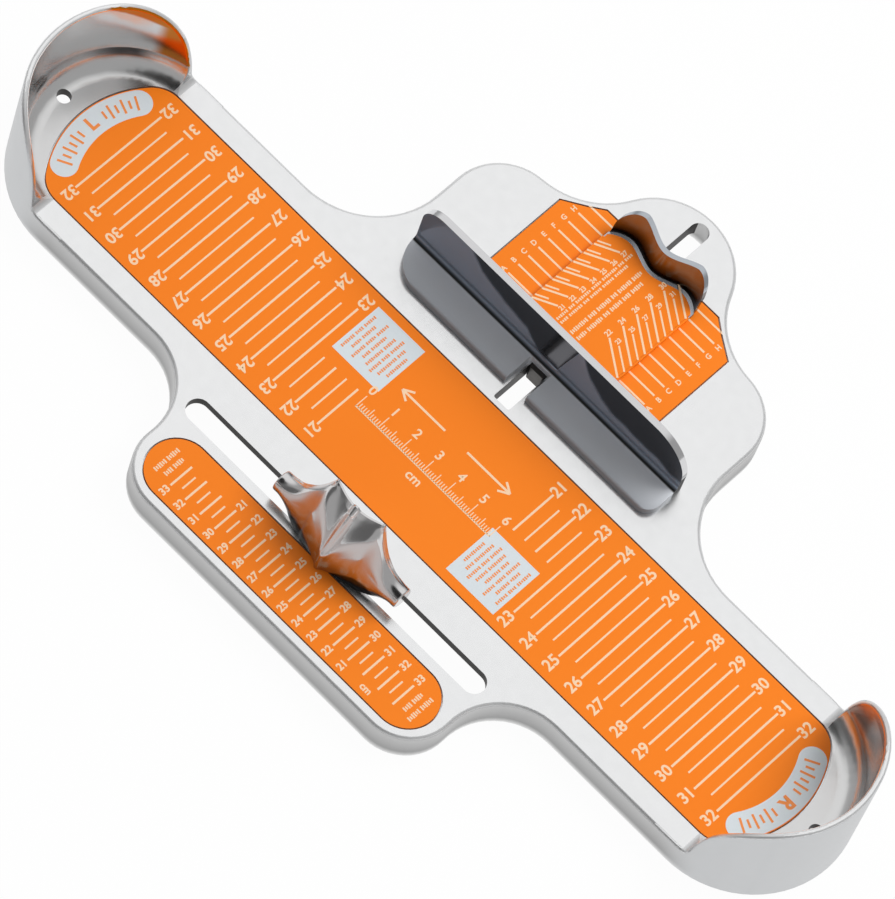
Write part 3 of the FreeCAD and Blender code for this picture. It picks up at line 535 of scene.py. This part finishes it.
def in_slot(x, y):
    """Whether a wall belongs to one of the two guide slots or to a heel hole."""
    arch = abs(x) < arch_slot_reach and abs(y - arch_slot_y) < arch_slot_half + slot_margin
    width = abs(x) < width_slot_half + slot_margin and width_slot_inner < y < width_slot_outer
    hole = math.hypot(abs(x) - heel_hole_x, y) < heel_hole_reach
    return arch or width or hole


def in_cup(x, y):
    """Whether a place lies within the hollow of a heel cup."""
    return abs(x) > cup_start_x and math.hypot(abs(x) - cup_centre_x, y) < cup_inner


def casting():
    """The casting, with its own finish on the cups, walls, edges, slots and underside; those on the
    cups, side walls and slots carry painted reflection and shade.
    """
    bm = copy_of("base_casting")
    finishes = [casting_shine, casting_side, casting_under, slot_wall, cup_shine, cup_wall_shine,
                casting_edge]
    for side in (-1, 1):
        bmesh.ops.bisect_plane(bm, geom=bm.verts[:] + bm.edges[:] + bm.faces[:], dist=0.001 * mm,
                               plane_co=(side * cup_start_x * mm, 0.0, 0.0), plane_no=(1, 0, 0))
    for face in bm.faces:
        x, y, z = about_heel_line(face.calc_center_median())
        upright = abs(face.normal.z) < 0.5
        if face.normal.z < -0.5:
            finish = casting_under
        elif upright and in_slot(x, y):
            finish = slot_wall
        elif z > deck_top - deck_slack and in_cup(x, y):
            finish = cup_shine if z < deck_top + cup_floor_climb else cup_wall_shine
        elif upright:
            finish = casting_side
        elif face.normal.z < level_enough and z > deck_top - rim_depth:
            finish = casting_edge
        else:
            finish = casting_shine
        face.material_index = finishes.index(finish)
    piece = finished(bm, "polished_casting", "base", finishes,
                     sharp=metal_sharp, stands_for="base_casting")
    even_normals(piece)


def bar():
    """The width bar in whole faces, with other plating on its flange, its wall and its back; the
    flange and wall plating carry painted light, reflection and shade.
    """
    bm = copy_of("width_bar")
    finishes = [bar_shine, flange_satin, wall_reflection_paint, bar_back]
    bmesh.ops.dissolve_limit(bm, angle_limit=math.radians(0.2), verts=bm.verts, edges=bm.edges,
                             use_dissolve_boundaries=False)
    for face in bm.faces:
        y, z = about_heel_line(face.calc_center_median())[1:]
        if y < bar_face_y - flange_gap and z < deck_top + flange_top:
            finish = flange_satin
        elif face.normal.y > 0.5:
            finish = bar_back
        elif face.normal.y < -0.5 or z < deck_top + wall_foot:
            finish = wall_reflection_paint
        else:
            finish = bar_shine
        face.material_index = finishes.index(finish)
    piece = finished(bm, "width_bar_plated", "width_slide", finishes,
                     sharp=metal_sharp, stands_for="width_bar")
    even_normals(piece)


def grip():
    """The finger pull, with a brighter rim."""
    bm = copy_of("finger_pull")
    for face in bm.faces:
        if face.normal.z > 0.5:
            face.material_index = 1
    piece = finished(bm, "scalloped_finger_pull", "width_slide",
                     [grip_shine, rim_shine], sharp=metal_sharp, stands_for="finger_pull")
    even_normals(piece)


def read_off(rows, place):
    """Values between the rows of a table, running smoothly through each row."""
    here = max(i for i, row in enumerate(rows[:-1]) if row[0] <= place)
    first, last = rows[here], rows[here + 1]
    before, after = rows[max(here - 1, 0)], rows[min(here + 2, len(rows) - 1)]
    step = last[0] - first[0]
    share = (place - first[0]) / step
    values = []
    for column in range(1, len(first)):
        leave = (last[column] - before[column]) / (last[0] - before[0]) * step
        arrive = (after[column] - first[column]) / (after[0] - first[0]) * step
        values.append((1.0 + 2.0 * share) * (1.0 - share) ** 2 * first[column]
                      + share * (1.0 - share) ** 2 * leave
                      + share * share * (3.0 - 2.0 * share) * last[column]
                      + share * share * (share - 1.0) * arrive)
    return values


def bowed(first, last, share, bow, skew=0.0):
    """A place on a side of a section that bows outward, or inward if negative."""
    run = last - first
    out = Vector((-run.y, run.x)).normalized()
    even = 4.0 * share * (1.0 - share)
    late = 6.75 * share * share * (1.0 - share)
    return first + run * share + out * bow * (even + (late - even) * skew)


def pointer_section(x, around):
    """A place on the pointer's outline at one distance from its middle."""
    row = read_off(pointer_rows, x)
    foot, ridge, crest, heel = [Vector(row[i:i + 2]) for i in (0, 2, 4, 6)]
    front, top, rear, under = row[8:]
    lip_left = min(max((lip_fade[0] - x) / lip_fade[1], 0.0), 1.0)
    lip = crest - Vector((lip_width * lip_left, 0.0))
    ridge_left = max((ridge_fade[0] - x) / ridge_fade[1], 0.02)
    soft = ridge_softness * min(ridge_left, (x + 1.0) / 3.0, 1.0)
    before = ridge + (foot - ridge).normalized() * soft
    behind = ridge + (lip - ridge).normalized() * soft
    late = max(1.0 - x / skew_end, 0.0)
    corners = (foot, before, behind, lip, crest, heel, foot)
    bows = (front, soft * 0.3, top, 0.0, rear, under)
    turn = around * sum(pointer_shares)
    side = 0
    while turn > pointer_shares[side] and side < len(pointer_shares) - 1:
        turn -= pointer_shares[side]
        side += 1
    share = min(turn / pointer_shares[side], 1.0)
    return bowed(corners[side], corners[side + 1], share, bows[side], late if side == 2 else 0.0)


def pointer_reach(across):
    """Spreads the columns of a grid so that they crowd at the bead, the crest and the ends."""
    share = abs(across)
    for (low, near), (high, far) in zip(pointer_columns, pointer_columns[1:]):
        if share <= high:
            return near + (far - near) * (share - low) / (high - low)
    return pointer_columns[-1][1]


def pointer():
    """The pointer as one grid bent round its sections, then smoothed along its ridges."""
    bm = bmesh.new()
    bmesh.ops.create_grid(bm, x_segments=160, y_segments=sum(pointer_shares), size=1.0)
    low, high = scoop_rows
    rows = [v for v in bm.verts if low < v.co.y < high]
    softened = [v for v in rows if bead_edge < abs(v.co.x) < scoop_edge]
    bead = [v for v in rows if abs(v.co.x) <= bead_edge]
    for vert in bm.verts:
        side = math.copysign(1.0, vert.co.x)
        x = pointer_reach(vert.co.x)
        y, z = pointer_section(x, min(max((vert.co.y + 1.0) / 2.0, 0.0), 1.0))
        vert.co = Vector((pointer_mid + side * x * mm, heel_line + (arch_slot_y + y) * mm,
                          pointer_low.z + z * mm))
    for verts, rounds in ((softened, ridge_rounds), (bead, bead_rounds)):
        for turn in range(rounds):
            bmesh.ops.smooth_vert(bm, verts=verts, factor=0.5, use_axis_x=True, use_axis_y=True,
                                  use_axis_z=True)
    bmesh.ops.remove_doubles(bm, verts=bm.verts, dist=0.002 * mm)
    bmesh.ops.holes_fill(bm, edges=bm.edges, sides=0)
    bmesh.ops.recalc_face_normals(bm, faces=bm.faces)
    for face in bm.faces:
        # forward-facing flanks take the darker finish with painted shade
        if face.normal.y < -flank_slope and face.normal.z < flank_slope:
            face.material_index = 1
    finished(bm, "polished_arch_pointer", "pointer",
             [pointer_shine, pointer_side], sharp=33.0, stands_for="arch_pointer")


def plate_top(node, top):
    """The flat top of a plate as one face."""
    bm = copy_of(node)
    away = [f for f in bm.faces if f.normal.z < 0.9 or abs(f.calc_center_median().z - top) > ink]
    bmesh.ops.delete(bm, geom=away, context="FACES")
    bmesh.ops.dissolve_faces(bm, faces=bm.faces[:])
    return bm


def band(bm, width):
    """A band of even width along the outline of one face."""
    made = bmesh.ops.inset_region(bm, faces=bm.faces[:], thickness=width, use_even_offset=True,
                                  use_boundary=True)["faces"]
    bmesh.ops.delete(bm, geom=[f for f in bm.faces if f not in made], context="FACES")
    return bm


def thickened(bm, depth):
    """Gives a flat sheet a thickness, downwards if negative."""
    grown = bmesh.ops.extrude_face_region(bm, geom=bm.faces[:], use_keep_orig=True)["geom"]
    verts = [v for v in grown if isinstance(v, bmesh.types.BMVert)]
    bmesh.ops.translate(bm, verts=verts, vec=(0.0, 0.0, depth))
    bmesh.ops.recalc_face_normals(bm, faces=bm.faces)
    return bm


def edge_line(node):
    """Painted shade: a dark line along the edge of a fixed plate, for the shade in the gap round it.
    """
    line = thickened(band(plate_top(node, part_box(node)[1].z), edge_line_width * mm), ink)
    finished(line, node + "_edge_line", "base", [painted_gap_shadow])


def slide_edges():
    """The slide's enamel folded down over both sides of its carriage."""
    bm = bmesh.new()
    low_y, high_y = slide_low.y, slide_high.y - fold_short * mm
    for side in (-1, 1):
        middle = Vector((side * fold_x * mm, (low_y + high_y) / 2.0, fold_z * mm))
        size = Matrix.Diagonal((fold_wide * mm, high_y - low_y, fold_high * mm, 1.0))
        bmesh.ops.create_cube(bm, size=1.0, matrix=Matrix.Translation(middle) @ size)
    bmesh.ops.bevel(bm, geom=bm.edges[:], offset=fold_round * mm, offset_type="OFFSET",
                    segments=2, profile=0.5, affect="EDGES", clamp_overlap=True, material=-1)
    finished(bm, "slide_folded_edges", "width_slide", [plate_orange])


# ---------------------------------------------------------------- the pointer's grid
lip_width = 0.7
lip_fade = (20.0, 8.0)                       # where the lip has gone, and how long it takes to go
ridge_softness = 2.2
ridge_fade = (17.0, 5.0)                     # the same for the softened ridge
skew_end = 12.0                              # up to here the scoops bow late, toward the crest
flank_slope = 0.55                           # faces that look more forward than this are flanks
scoop_rows = (-0.60, 0.36)                   # part of the grid with the ridges, scoops and bead
bead_edge = 0.09                             # the bead ends here across the grid
scoop_edge = 0.90                            # and the scoops here
ridge_rounds = 140                           # rounds of smoothing over the ridges and the scoops
bead_rounds = 16                             # and over the bead between the scoops
pointer_shares = (28, 8, 38, 4, 14, 8)       # grid rows on front, ridge, scoop, lip, back and foot
pointer_columns = ((0.0, 0.0), (0.10, 1.6), (0.425, 9.5), (0.55, 11.5), (0.9375, 26.5), (1.0, 27.3))
# across the middle, foot, ridge, crest and heel of the section, then how far each side bows
pointer_rows = (
    (0.0, -10.6, 0.0, -10.3, 9.0, 2.6, 28.0, 2.6, 0.0, 0.0, 0.8, -0.6, 0.0),
    (0.60, -10.5, 0.0, -10.1, 8.9, 2.6, 27.9, 2.6, 0.0, 0.0, 0.75, -0.6, 0.0),
    (1.15, -10.0, 0.0, -9.6, 8.9, 2.6, 27.3, 2.6, 0.0, 0.0, 0.35, -0.6, 0.0),
    (1.6, -9.6, 0.0, -9.1, 10.0, 2.7, 27.0, 2.7, 0.0, 0.1, 0.15, -0.6, 0.0),
    (2.4, -9.1, 0.0, -8.1, 12.2, 2.8, 26.9, 2.8, 0.0, 0.4, 0.0, -0.6, 0.0),
    (4.0, -8.4, 0.0, -6.6, 15.4, 3.1, 26.9, 3.1, 0.0, 0.8, -0.1, -0.6, 0.0),
    (5.6, -7.9, 0.0, -5.3, 18.0, 3.4, 27.1, 3.4, 0.0, 1.1, -0.1, -0.6, 0.0),
    (8.0, -7.3, 0.0, -3.5, 21.0, 4.0, 27.6, 4.0, 0.0, 1.4, 0.0, -0.6, 0.0),
    (9.6, -7.0, 0.0, -2.4, 23.2, 4.4, 28.0, 4.4, 0.0, 1.5, 0.2, -0.6, 0.0),
    (10.5, -6.8, 0.0, -1.8, 24.0, 4.6, 28.2, 4.6, 0.0, 1.5, 0.3, -0.5, 0.0),
    (11.4, -6.5, 0.0, -1.4, 22.4, 4.3, 25.8, 4.3, 0.0, 1.5, 0.5, -0.4, 0.0),
    (13.4, -6.1, 0.0, -1.0, 18.2, 3.6, 21.4, 3.6, 0.0, 1.6, 0.9, -0.3, 0.0),
    (15.6, -5.5, 0.4, -1.2, 14.6, 3.1, 17.4, 3.1, 0.4, 1.3, 1.1, 0.0, 0.0),
    (17.8, -4.8, 1.2, -1.8, 12.0, 2.9, 14.4, 2.9, 1.5, 1.2, 1.2, 0.5, 0.3),
    (20.0, -3.9, 2.2, -2.6, 10.3, 2.8, 12.0, 2.8, 2.9, 1.15, 1.2, 0.9, 0.8),
    (22.3, -3.2, 3.3, -2.8, 9.6, 2.8, 10.6, 2.8, 3.8, 1.15, 1.15, 1.1, 1.1),
    (24.6, -2.8, 4.0, -2.76, 9.56, 2.76, 9.8, 2.76, 4.04, 1.14, 1.14, 1.14, 1.14),
    (26.7, -2.76, 4.04, -2.76, 9.56, 2.76, 9.56, 2.76, 4.04, 1.14, 1.14, 1.14, 1.14),
    (27.1, -2.66, 4.14, -2.66, 9.46, 2.66, 9.46, 2.66, 4.14, 1.1, 1.1, 1.1, 1.1),
    (27.3, -2.46, 4.34, -2.46, 9.26, 2.46, 9.26, 2.46, 4.34, 1.02, 1.02, 1.02, 1.02),
)


# ================================================================ printing on the plates
glyph_cache = {}
cap_share = 0.70                             # height of a capital in Blender's own letters
line_width = 0.75                            # lines of whole centimetres
half_width = 0.62                            # and of half centimetres, on the long plate
side_line_width = 0.7                        # lines of the width side and the slide
short_line_width = 0.6                       # the shorter lines there and on the arch plate
small_weight = 0.08                          # how much small numbers and letters are thickened
tick_pitch = 0.86                            # rows of plain ticks: pitch, length and group gap
tick_length = 0.56
group_gap = 0.6
short_tick = 0.72                            # every third tick is this much of the full height
note_low = Vector((-49.8, 3.0))              # pale field by the middle of the long plate
note_high = Vector((-28.7, 24.4))
note_rows = ((6.2, 3.4, 5.0), (4.4, 6.4), (5.6, 4.0, 5.2), (3.6, 7.2), (7.4, 5.4),
             (4.8, 3.2, 5.6), (8.2, 3.8), (9.6,))
note_first_row = -47.9                       # its rows of ticks
note_row_pitch = 2.46
note_middle = 13.7


def glyphs(text, height, weight):
    """Flat letters, centred on the origin, as a mesh."""
    key = (text, height, weight)
    if key in glyph_cache:
        return glyph_cache[key]
    words = bpy.data.curves.new("words", "FONT")
    words.body = text
    words.align_x = "CENTER"
    words.align_y = "CENTER"
    words.size = height / cap_share
    words.offset = weight
    words.extrude = ink / 2.0
    words.resolution_u = 3
    holder = new_object("words", words)
    bpy.context.view_layer.update()
    shown = holder.evaluated_get(bpy.context.evaluated_depsgraph_get())
    mesh = bpy.data.meshes.new_from_object(shown)
    bpy.data.objects.remove(holder)
    bpy.data.curves.remove(words)
    glyph_cache[key] = mesh
    return mesh


class Print:
    """Ink on one plate, drawn in millimetres about the heel line."""

    def __init__(self, top):
        self.bm = bmesh.new()
        self.top = top

    def place(self, x, y, lift):
        return Matrix.Translation((x * mm, heel_line + y * mm, self.top + lift))

    def stroke(self, start, end, width, lift=0.0):
        """A straight line, a little block of ink."""
        run = Vector((end[0] - start[0], end[1] - start[1]))
        middle = ((start[0] + end[0]) / 2.0, (start[1] + end[1]) / 2.0)
        turn = Matrix.Rotation(math.atan2(run.y, run.x), 4, "Z")
        size = Matrix.Diagonal((run.length * mm, width * mm, ink, 1.0))
        matrix = self.place(*middle, lift + ink / 2.0) @ turn @ size
        bmesh.ops.create_cube(self.bm, size=1.0, matrix=matrix)

    def label(self, text, x, y, height, turn, weight, lift=0.0):
        """Numbers or letters, centred on a place and turned by degrees."""
        letters = bmesh.new()
        letters.from_mesh(glyphs(text, height * mm, weight * mm))
        matrix = self.place(x, y, lift + ink / 2.0) @ Matrix.Rotation(math.radians(turn), 4, "Z")
        bmesh.ops.transform(letters, matrix=matrix, verts=letters.verts)
        loose = bpy.data.meshes.new("letters")
        letters.to_mesh(loose)
        letters.free()
        self.bm.from_mesh(loose)
        bpy.data.meshes.remove(loose)

    def done(self, name, body, finish):
        finished(self.bm, name, body, [finish])


def length_print():
    """Centimetre lines and numbers of the long plate, the same for either foot turned about."""
    sheet = Print(plate_high.z)
    first, first_full, last = 21, 23, 32     # the first lines reach over half the plate only
    height, weight = 3.9, 0.13
    for side in (1, -1):
        for number in range(first, last + 1):
            full = number >= first_full
            x = side * (10.0 * number - heel_face / mm)
            low = -18.8 if full else 1.3
            sheet.stroke((x, side * low), (x, side * 19.9), line_width)
            sheet.label(str(number), x, side * 22.6, height, 90 * side, weight)
            if full:
                sheet.label(str(number), x, side * -22.2, height, 90 * side, weight)
            if number < last:
                half = x + side * 5.0
                low = -16.2 if full else 1.5
                sheet.stroke((half, side * low), (half, side * 17.4), half_width)
    sheet.done("length_scale_print", "base", cream_ink)


def badge(side):
    """Pale field at a plate's end, along its round edge, with a letter and index marks."""
    end_name = "right" if side > 0 else "left"
    centre = Vector((side * plate_arc_x * mm, heel_line, plate_high.z))
    field = bmesh.new()
    middle = (badge_inner + badge_outer) / 2.0
    start = [field.verts.new(centre + Vector((r * mm, 0.0, 0.0)))
             for r in (badge_inner, middle, badge_outer)]
    for pair in zip(start, start[1:]):
        field.edges.new(pair)
    away = 0.0 if side > 0 else 180.0
    turn = Matrix.Rotation(math.radians(away - badge_reach), 3, "Z")
    bmesh.ops.rotate(field, cent=centre, matrix=turn, verts=field.verts)
    bmesh.ops.spin(field, geom=field.verts[:] + field.edges[:], cent=centre, axis=(0, 0, 1),
                   angle=math.radians(2.0 * badge_reach), steps=40)
    for end in (-1, 1):
        angle = math.radians(away + end * badge_reach)
        unit = Vector((math.cos(angle), math.sin(angle), 0.0)) * mm
        hub = [field.verts.new(centre + unit * r) for r in (middle, badge_outer)]
        rib = field.edges.new(hub)
        bmesh.ops.spin(field, geom=hub + [rib], cent=centre + unit * middle, axis=(0, 0, end),
                       angle=math.pi, steps=20)
    bmesh.ops.remove_doubles(field, verts=field.verts, dist=0.001 * mm)
    finished(thickened(field, patch), "heel_badge_" + end_name, "base",
             [pale_field])
    marks = Print(plate_high.z)
    for count, degrees in enumerate(range(9, 30, 4)):
        reach = 2.6 if count % 2 else 1.5    # every second mark is longer
        for way in (-1, 1):
            angle = math.radians(away + way * degrees)
            unit = Vector((math.cos(angle), math.sin(angle)))
            ends = [Vector((side * plate_arc_x, 0.0)) + unit * (middle + out)
                    for out in (-reach, reach)]
            marks.stroke(*ends, 0.8, lift=patch)
    letter = "R" if side > 0 else "L"
    marks.label(letter, side * (plate_arc_x + middle), 0.0, 4.6, -90 * side, 0.25, patch)
    marks.done("heel_badge_marks_" + end_name, "base", orange_ink)


def dashes(sheet, along, across, lengths, width, turn, lift=0.0):
    """A row of small upright ticks in groups, one group after another, from a starting place."""
    way = Vector((math.cos(math.radians(turn)), math.sin(math.radians(turn))))
    spot = Vector((along, across))
    for length in lengths:
        ticks = max(round(length / tick_pitch), 1)
        for tick in range(ticks):
            start = spot + way * tick_pitch * tick
            share = 1.0 if tick % 3 != 1 else short_tick
            sheet.stroke(start, start + way * tick_length, width * share, lift=lift)
        spot += way * (tick_pitch * ticks + group_gap)


def note_field(side):
    """Pale field by the middle of the plate with rows of plain orange ticks."""
    field = bmesh.new()
    middle = (note_low + note_high) / 2.0 * -side
    matrix = Matrix.Translation((middle.x * mm, heel_line + middle.y * mm,
                                 plate_high.z + patch / 2.0))
    size = Matrix.Diagonal(((note_high.x - note_low.x) * mm, (note_high.y - note_low.y) * mm,
                            patch, 1.0))
    bmesh.ops.create_cube(field, size=1.0, matrix=matrix @ size)
    name = "note_field_right" if side > 0 else "note_field_left"
    finished(field, name, "base", [pale_field])
    rows = Print(plate_high.z)
    for row, lengths in enumerate(note_rows):
        total = sum(lengths) + 0.9 * (len(lengths) - 1)
        x = (note_first_row + note_row_pitch * row) * -side
        y = (note_middle - total / 2.0) * -side
        dashes(rows, x, y, lengths, 1.15, -90 * side, patch)
    rows.done(name + "_rows", "base", orange_ink)


def middle_print():
    """A short centimetre rule between the two scales, and an arrow to each heel."""
    sheet = Print(plate_high.z)
    foot, shaft = -6.0, 9.5                  # lines that the ticks stand on and the arrows run on
    height, weight = 3.4, 0.10
    for tick in range(61):
        x = -30.0 + tick
        reach = 5.2 if tick % 10 == 0 else 3.6 if tick % 5 == 0 else 2.2
        sheet.stroke((x, foot), (x, foot + reach), 0.34)
        if tick % 10 == 0:
            sheet.label(str(tick // 10), x, 1.9, height, 0, weight)
    sheet.stroke((-30.2, foot), (30.2, foot), 0.5)
    sheet.label("cm", 0.0, -10.0, height, 0, weight)
    for side in (-1, 1):
        sheet.stroke((side * 5.0, shaft), (side * 23.6, shaft), 0.8)
        for slant in (-1, 1):                # each stroke lies a little above the one before
            sheet.stroke((side * 24.2, shaft), (side * 20.6, shaft + slant * 2.2), 0.8,
                         lift=ink * 0.1 * (2 + slant))
    sheet.done("middle_rule_print", "base", cream_ink)


def arch_print():
    """Lines of the arch plate, numbered from both ends, with plain ticks beyond them."""
    sheet = Print(arch_high.z)
    first, last, lines, numbered = -49.2, 50.2, 16, 13
    height, weight = 2.5, 0.12
    pitch = (last - first) / (lines - 1)
    for line in range(lines):
        x = first + pitch * line
        half = x + pitch / 2.0
        sheet.stroke((x, -70.2), (x, -60.6), line_width)
        if line < lines - 1:
            sheet.stroke((half, -68.2), (half, -62.3), short_line_width)
        if line < numbered:                  # counts down from 33 by the plate's outer edge
            sheet.label(str(33 - line), x, -72.8, height, 90, weight)
        if line >= lines - numbered:         # and up to 33 by its inner edge
            sheet.label(str(line + 18), x, -57.8, height, 90, weight)
    sheet.label("cm", last - 1.4 * pitch, -72.9, 2.4, 0, weight)
    middle = (first + last) / 2.0
    for side in (-1, 1):
        dashes(sheet, middle + side * 53.5, -68.9, (3.4, 4.4), 1.7, 90)
        dashes(sheet, middle + side * 56.8, -70.2, (5.2, 5.2), 1.7, 90)
    sheet.done("arch_scale_print", "base", cream_ink)


def width_print():
    """Lines beside the slide, each with its letter."""
    sheet = Print(width_left_high.z)
    letters = "ABCDEFGH"
    for line in range(len(letters) + 1):     # the last line has no letter
        y = 64.9 + 4.68 * line
        for side in (-1, 1):
            sheet.stroke((side * 18.9, y), (side * 30.8, y), side_line_width)
            if line < len(letters):
                sheet.label(letters[line], side * 32.8, y, 1.8, 90, small_weight)
    sheet.done("width_scale_print", "base", cream_ink)


def slide_print():
    """Slanted lines that carry a length number down to the fixed width lines."""
    sheet = Print(slide_high.z)
    for line in range(7):
        y = 63.4 + 4.85 * line
        sheet.stroke((-19.3, y), (-11.5, y + 4.2), side_line_width)
        sheet.stroke((-19.3, y + 1.6), (-15.2, y + 3.8), short_line_width)
        sheet.label(str(21 + line), -10.2, y + 4.9, 1.6, 90, small_weight)
    for line in range(6):
        y = 64.0 + 6.4 * line
        sheet.stroke((19.0, y), (7.4, y + 8.2), side_line_width)
        sheet.label(str(22 + 2 * line), 6.0, y + 9.2, 1.8, 90, small_weight)
        if line < 5:
            sheet.stroke((19.0, y + 3.2), (11.4, y + 8.5), short_line_width)
            sheet.label(str(23 + 2 * line), 10.2, y + 9.5, 1.5, 90, small_weight)
    for x, width, lengths in ((-8.4, 1.0, (5.2, 3.0, 6.6, 4.4, 7.0, 2.8, 3.4)),
                              (-6.6, 1.0, (3.8, 6.0, 2.6, 5.4, 4.8, 6.2)),
                              (-2.0, 1.5, (7.4, 3.2, 5.8, 2.6, 6.4, 4.2)),
                              (0.9, 1.5, (4.6, 6.8, 3.0, 5.2, 3.6, 4.8))):
        dashes(sheet, x, 64.0, lengths, width, 90)
    sheet.done("slide_scale_print", "width_slide", cream_ink)


# ================================================================ floor, light and camera
floor_glow = 0.97                            # share of the floor's own light that a camera sees
bright_way = Vector((-0.30, 0.42, 0.86)).normalized()
dark_way = Vector((-0.08, -0.44, 0.89)).normalized()
shade_way = Vector((-0.55, -0.80, 0.20)).normalized()
lamp_place = Vector((0.63, 0.99, 1.37))
camera_place = Vector((0.50286, -1.09884, 2.37295))
camera_right = Vector((0.70240742, 0.69194531, 0.16683977))
camera_up = Vector((-0.6859025, 0.59539424, 0.41838196))


def studio_floor():
    """A white floor that takes shadows softly and looks evenly bright itself."""
    bm = bmesh.new()
    bmesh.ops.create_grid(bm, x_segments=1, y_segments=1, size=4.0)
    mesh = bpy.data.meshes.new("studio_floor")
    bm.to_mesh(mesh)
    bm.free()
    f = new_finish("studio_floor_white")
    path = f.add("ShaderNodeLightPath")
    seen = path.value("Is Camera Ray").over(path.value("Is Glossy Ray"))
    seen = seen.over(path.value("Is Transmission Ray"))
    glow = f.add("ShaderNodeEmission", None, {"Color": grey(1.0), "Strength": 1.0})
    matt = f.add("ShaderNodeBsdfDiffuse", None, {"Color": grey(0.86)})
    mixed = f.add("ShaderNodeMixShader", None, {
        0: seen * floor_glow, 1: matt.out("BSDF"), 2: glow.out("Emission")})
    mesh.materials.append(f.surface(mixed.out("Shader")))
    floor = new_object("studio_floor", mesh)


def studio_world():
    """A white tent, brightest on one side, with a dark opening and a shaded side."""
    world = bpy.data.worlds.new("white_tent")
    bpy.context.scene.world = world
    f = Finish(world)
    way = f.add("ShaderNodeTexCoord").out("Generated")

    def toward(direction, low, high):
        turn = f.add("ShaderNodeVectorMath", {"operation": "DOT_PRODUCT"}, {0: way, 1: direction})
        return f.rise(turn.value("Value"), low, high)

    tent = f.blend(toward(bright_way, 0.60, 0.92), grey(0.44), grey(0.93))
    tent = f.blend(toward(shade_way, 0.80, 0.95), tent, grey(0.14))
    colour = f.blend(toward(dark_way, 0.87, 0.93), tent, grey(0.02))
    back = f.add("ShaderNodeBackground", None, {"Color": colour, "Strength": 1.0})
    f.add("ShaderNodeOutputWorld", None, {"Surface": back.out("Background")})


def studio_lamp():
    """A wide lamp behind the device, aimed at it and not mirrored in the metal."""
    light = bpy.data.lights.new("soft_lamp", "AREA")
    light.energy = 21.0
    light.size = 1.0
    lamp = new_object("soft_lamp", light)
    lamp.visible_glossy = False
    lamp.location = lamp_place
    lamp.rotation_euler = (-lamp_place).to_track_quat("-Z", "Y").to_euler()


def studio_camera():
    """The camera, which stands well off with a long lens."""
    back = camera_right.cross(camera_up)
    data = bpy.data.cameras.new("camera")
    data.sensor_fit = "AUTO"
    data.sensor_width = 36.0
    data.lens = 334.53
    camera = new_object("camera", data)
    turn = Matrix((camera_right, camera_up, back)).transposed().to_4x4()
    camera.matrix_world = Matrix.Translation(camera_place) @ turn
    bpy.context.scene.camera = camera


studio_floor()
studio_world()
studio_lamp()
studio_camera()

casting()
bar()
grip()
pointer()
length_print()
for end in (-1, 1):
    badge(end)
    note_field(end)
middle_print()
arch_print()
width_print()
slide_print()
slide_edges()
for plate in ("main_scale_plate", "arch_scale_plate", "width_scale_plate_left",
              "width_scale_plate_right"):
    edge_line(plate)

bpy.context.scene.view_settings.view_transform = "Standard"

bpy.context.view_layer.update()
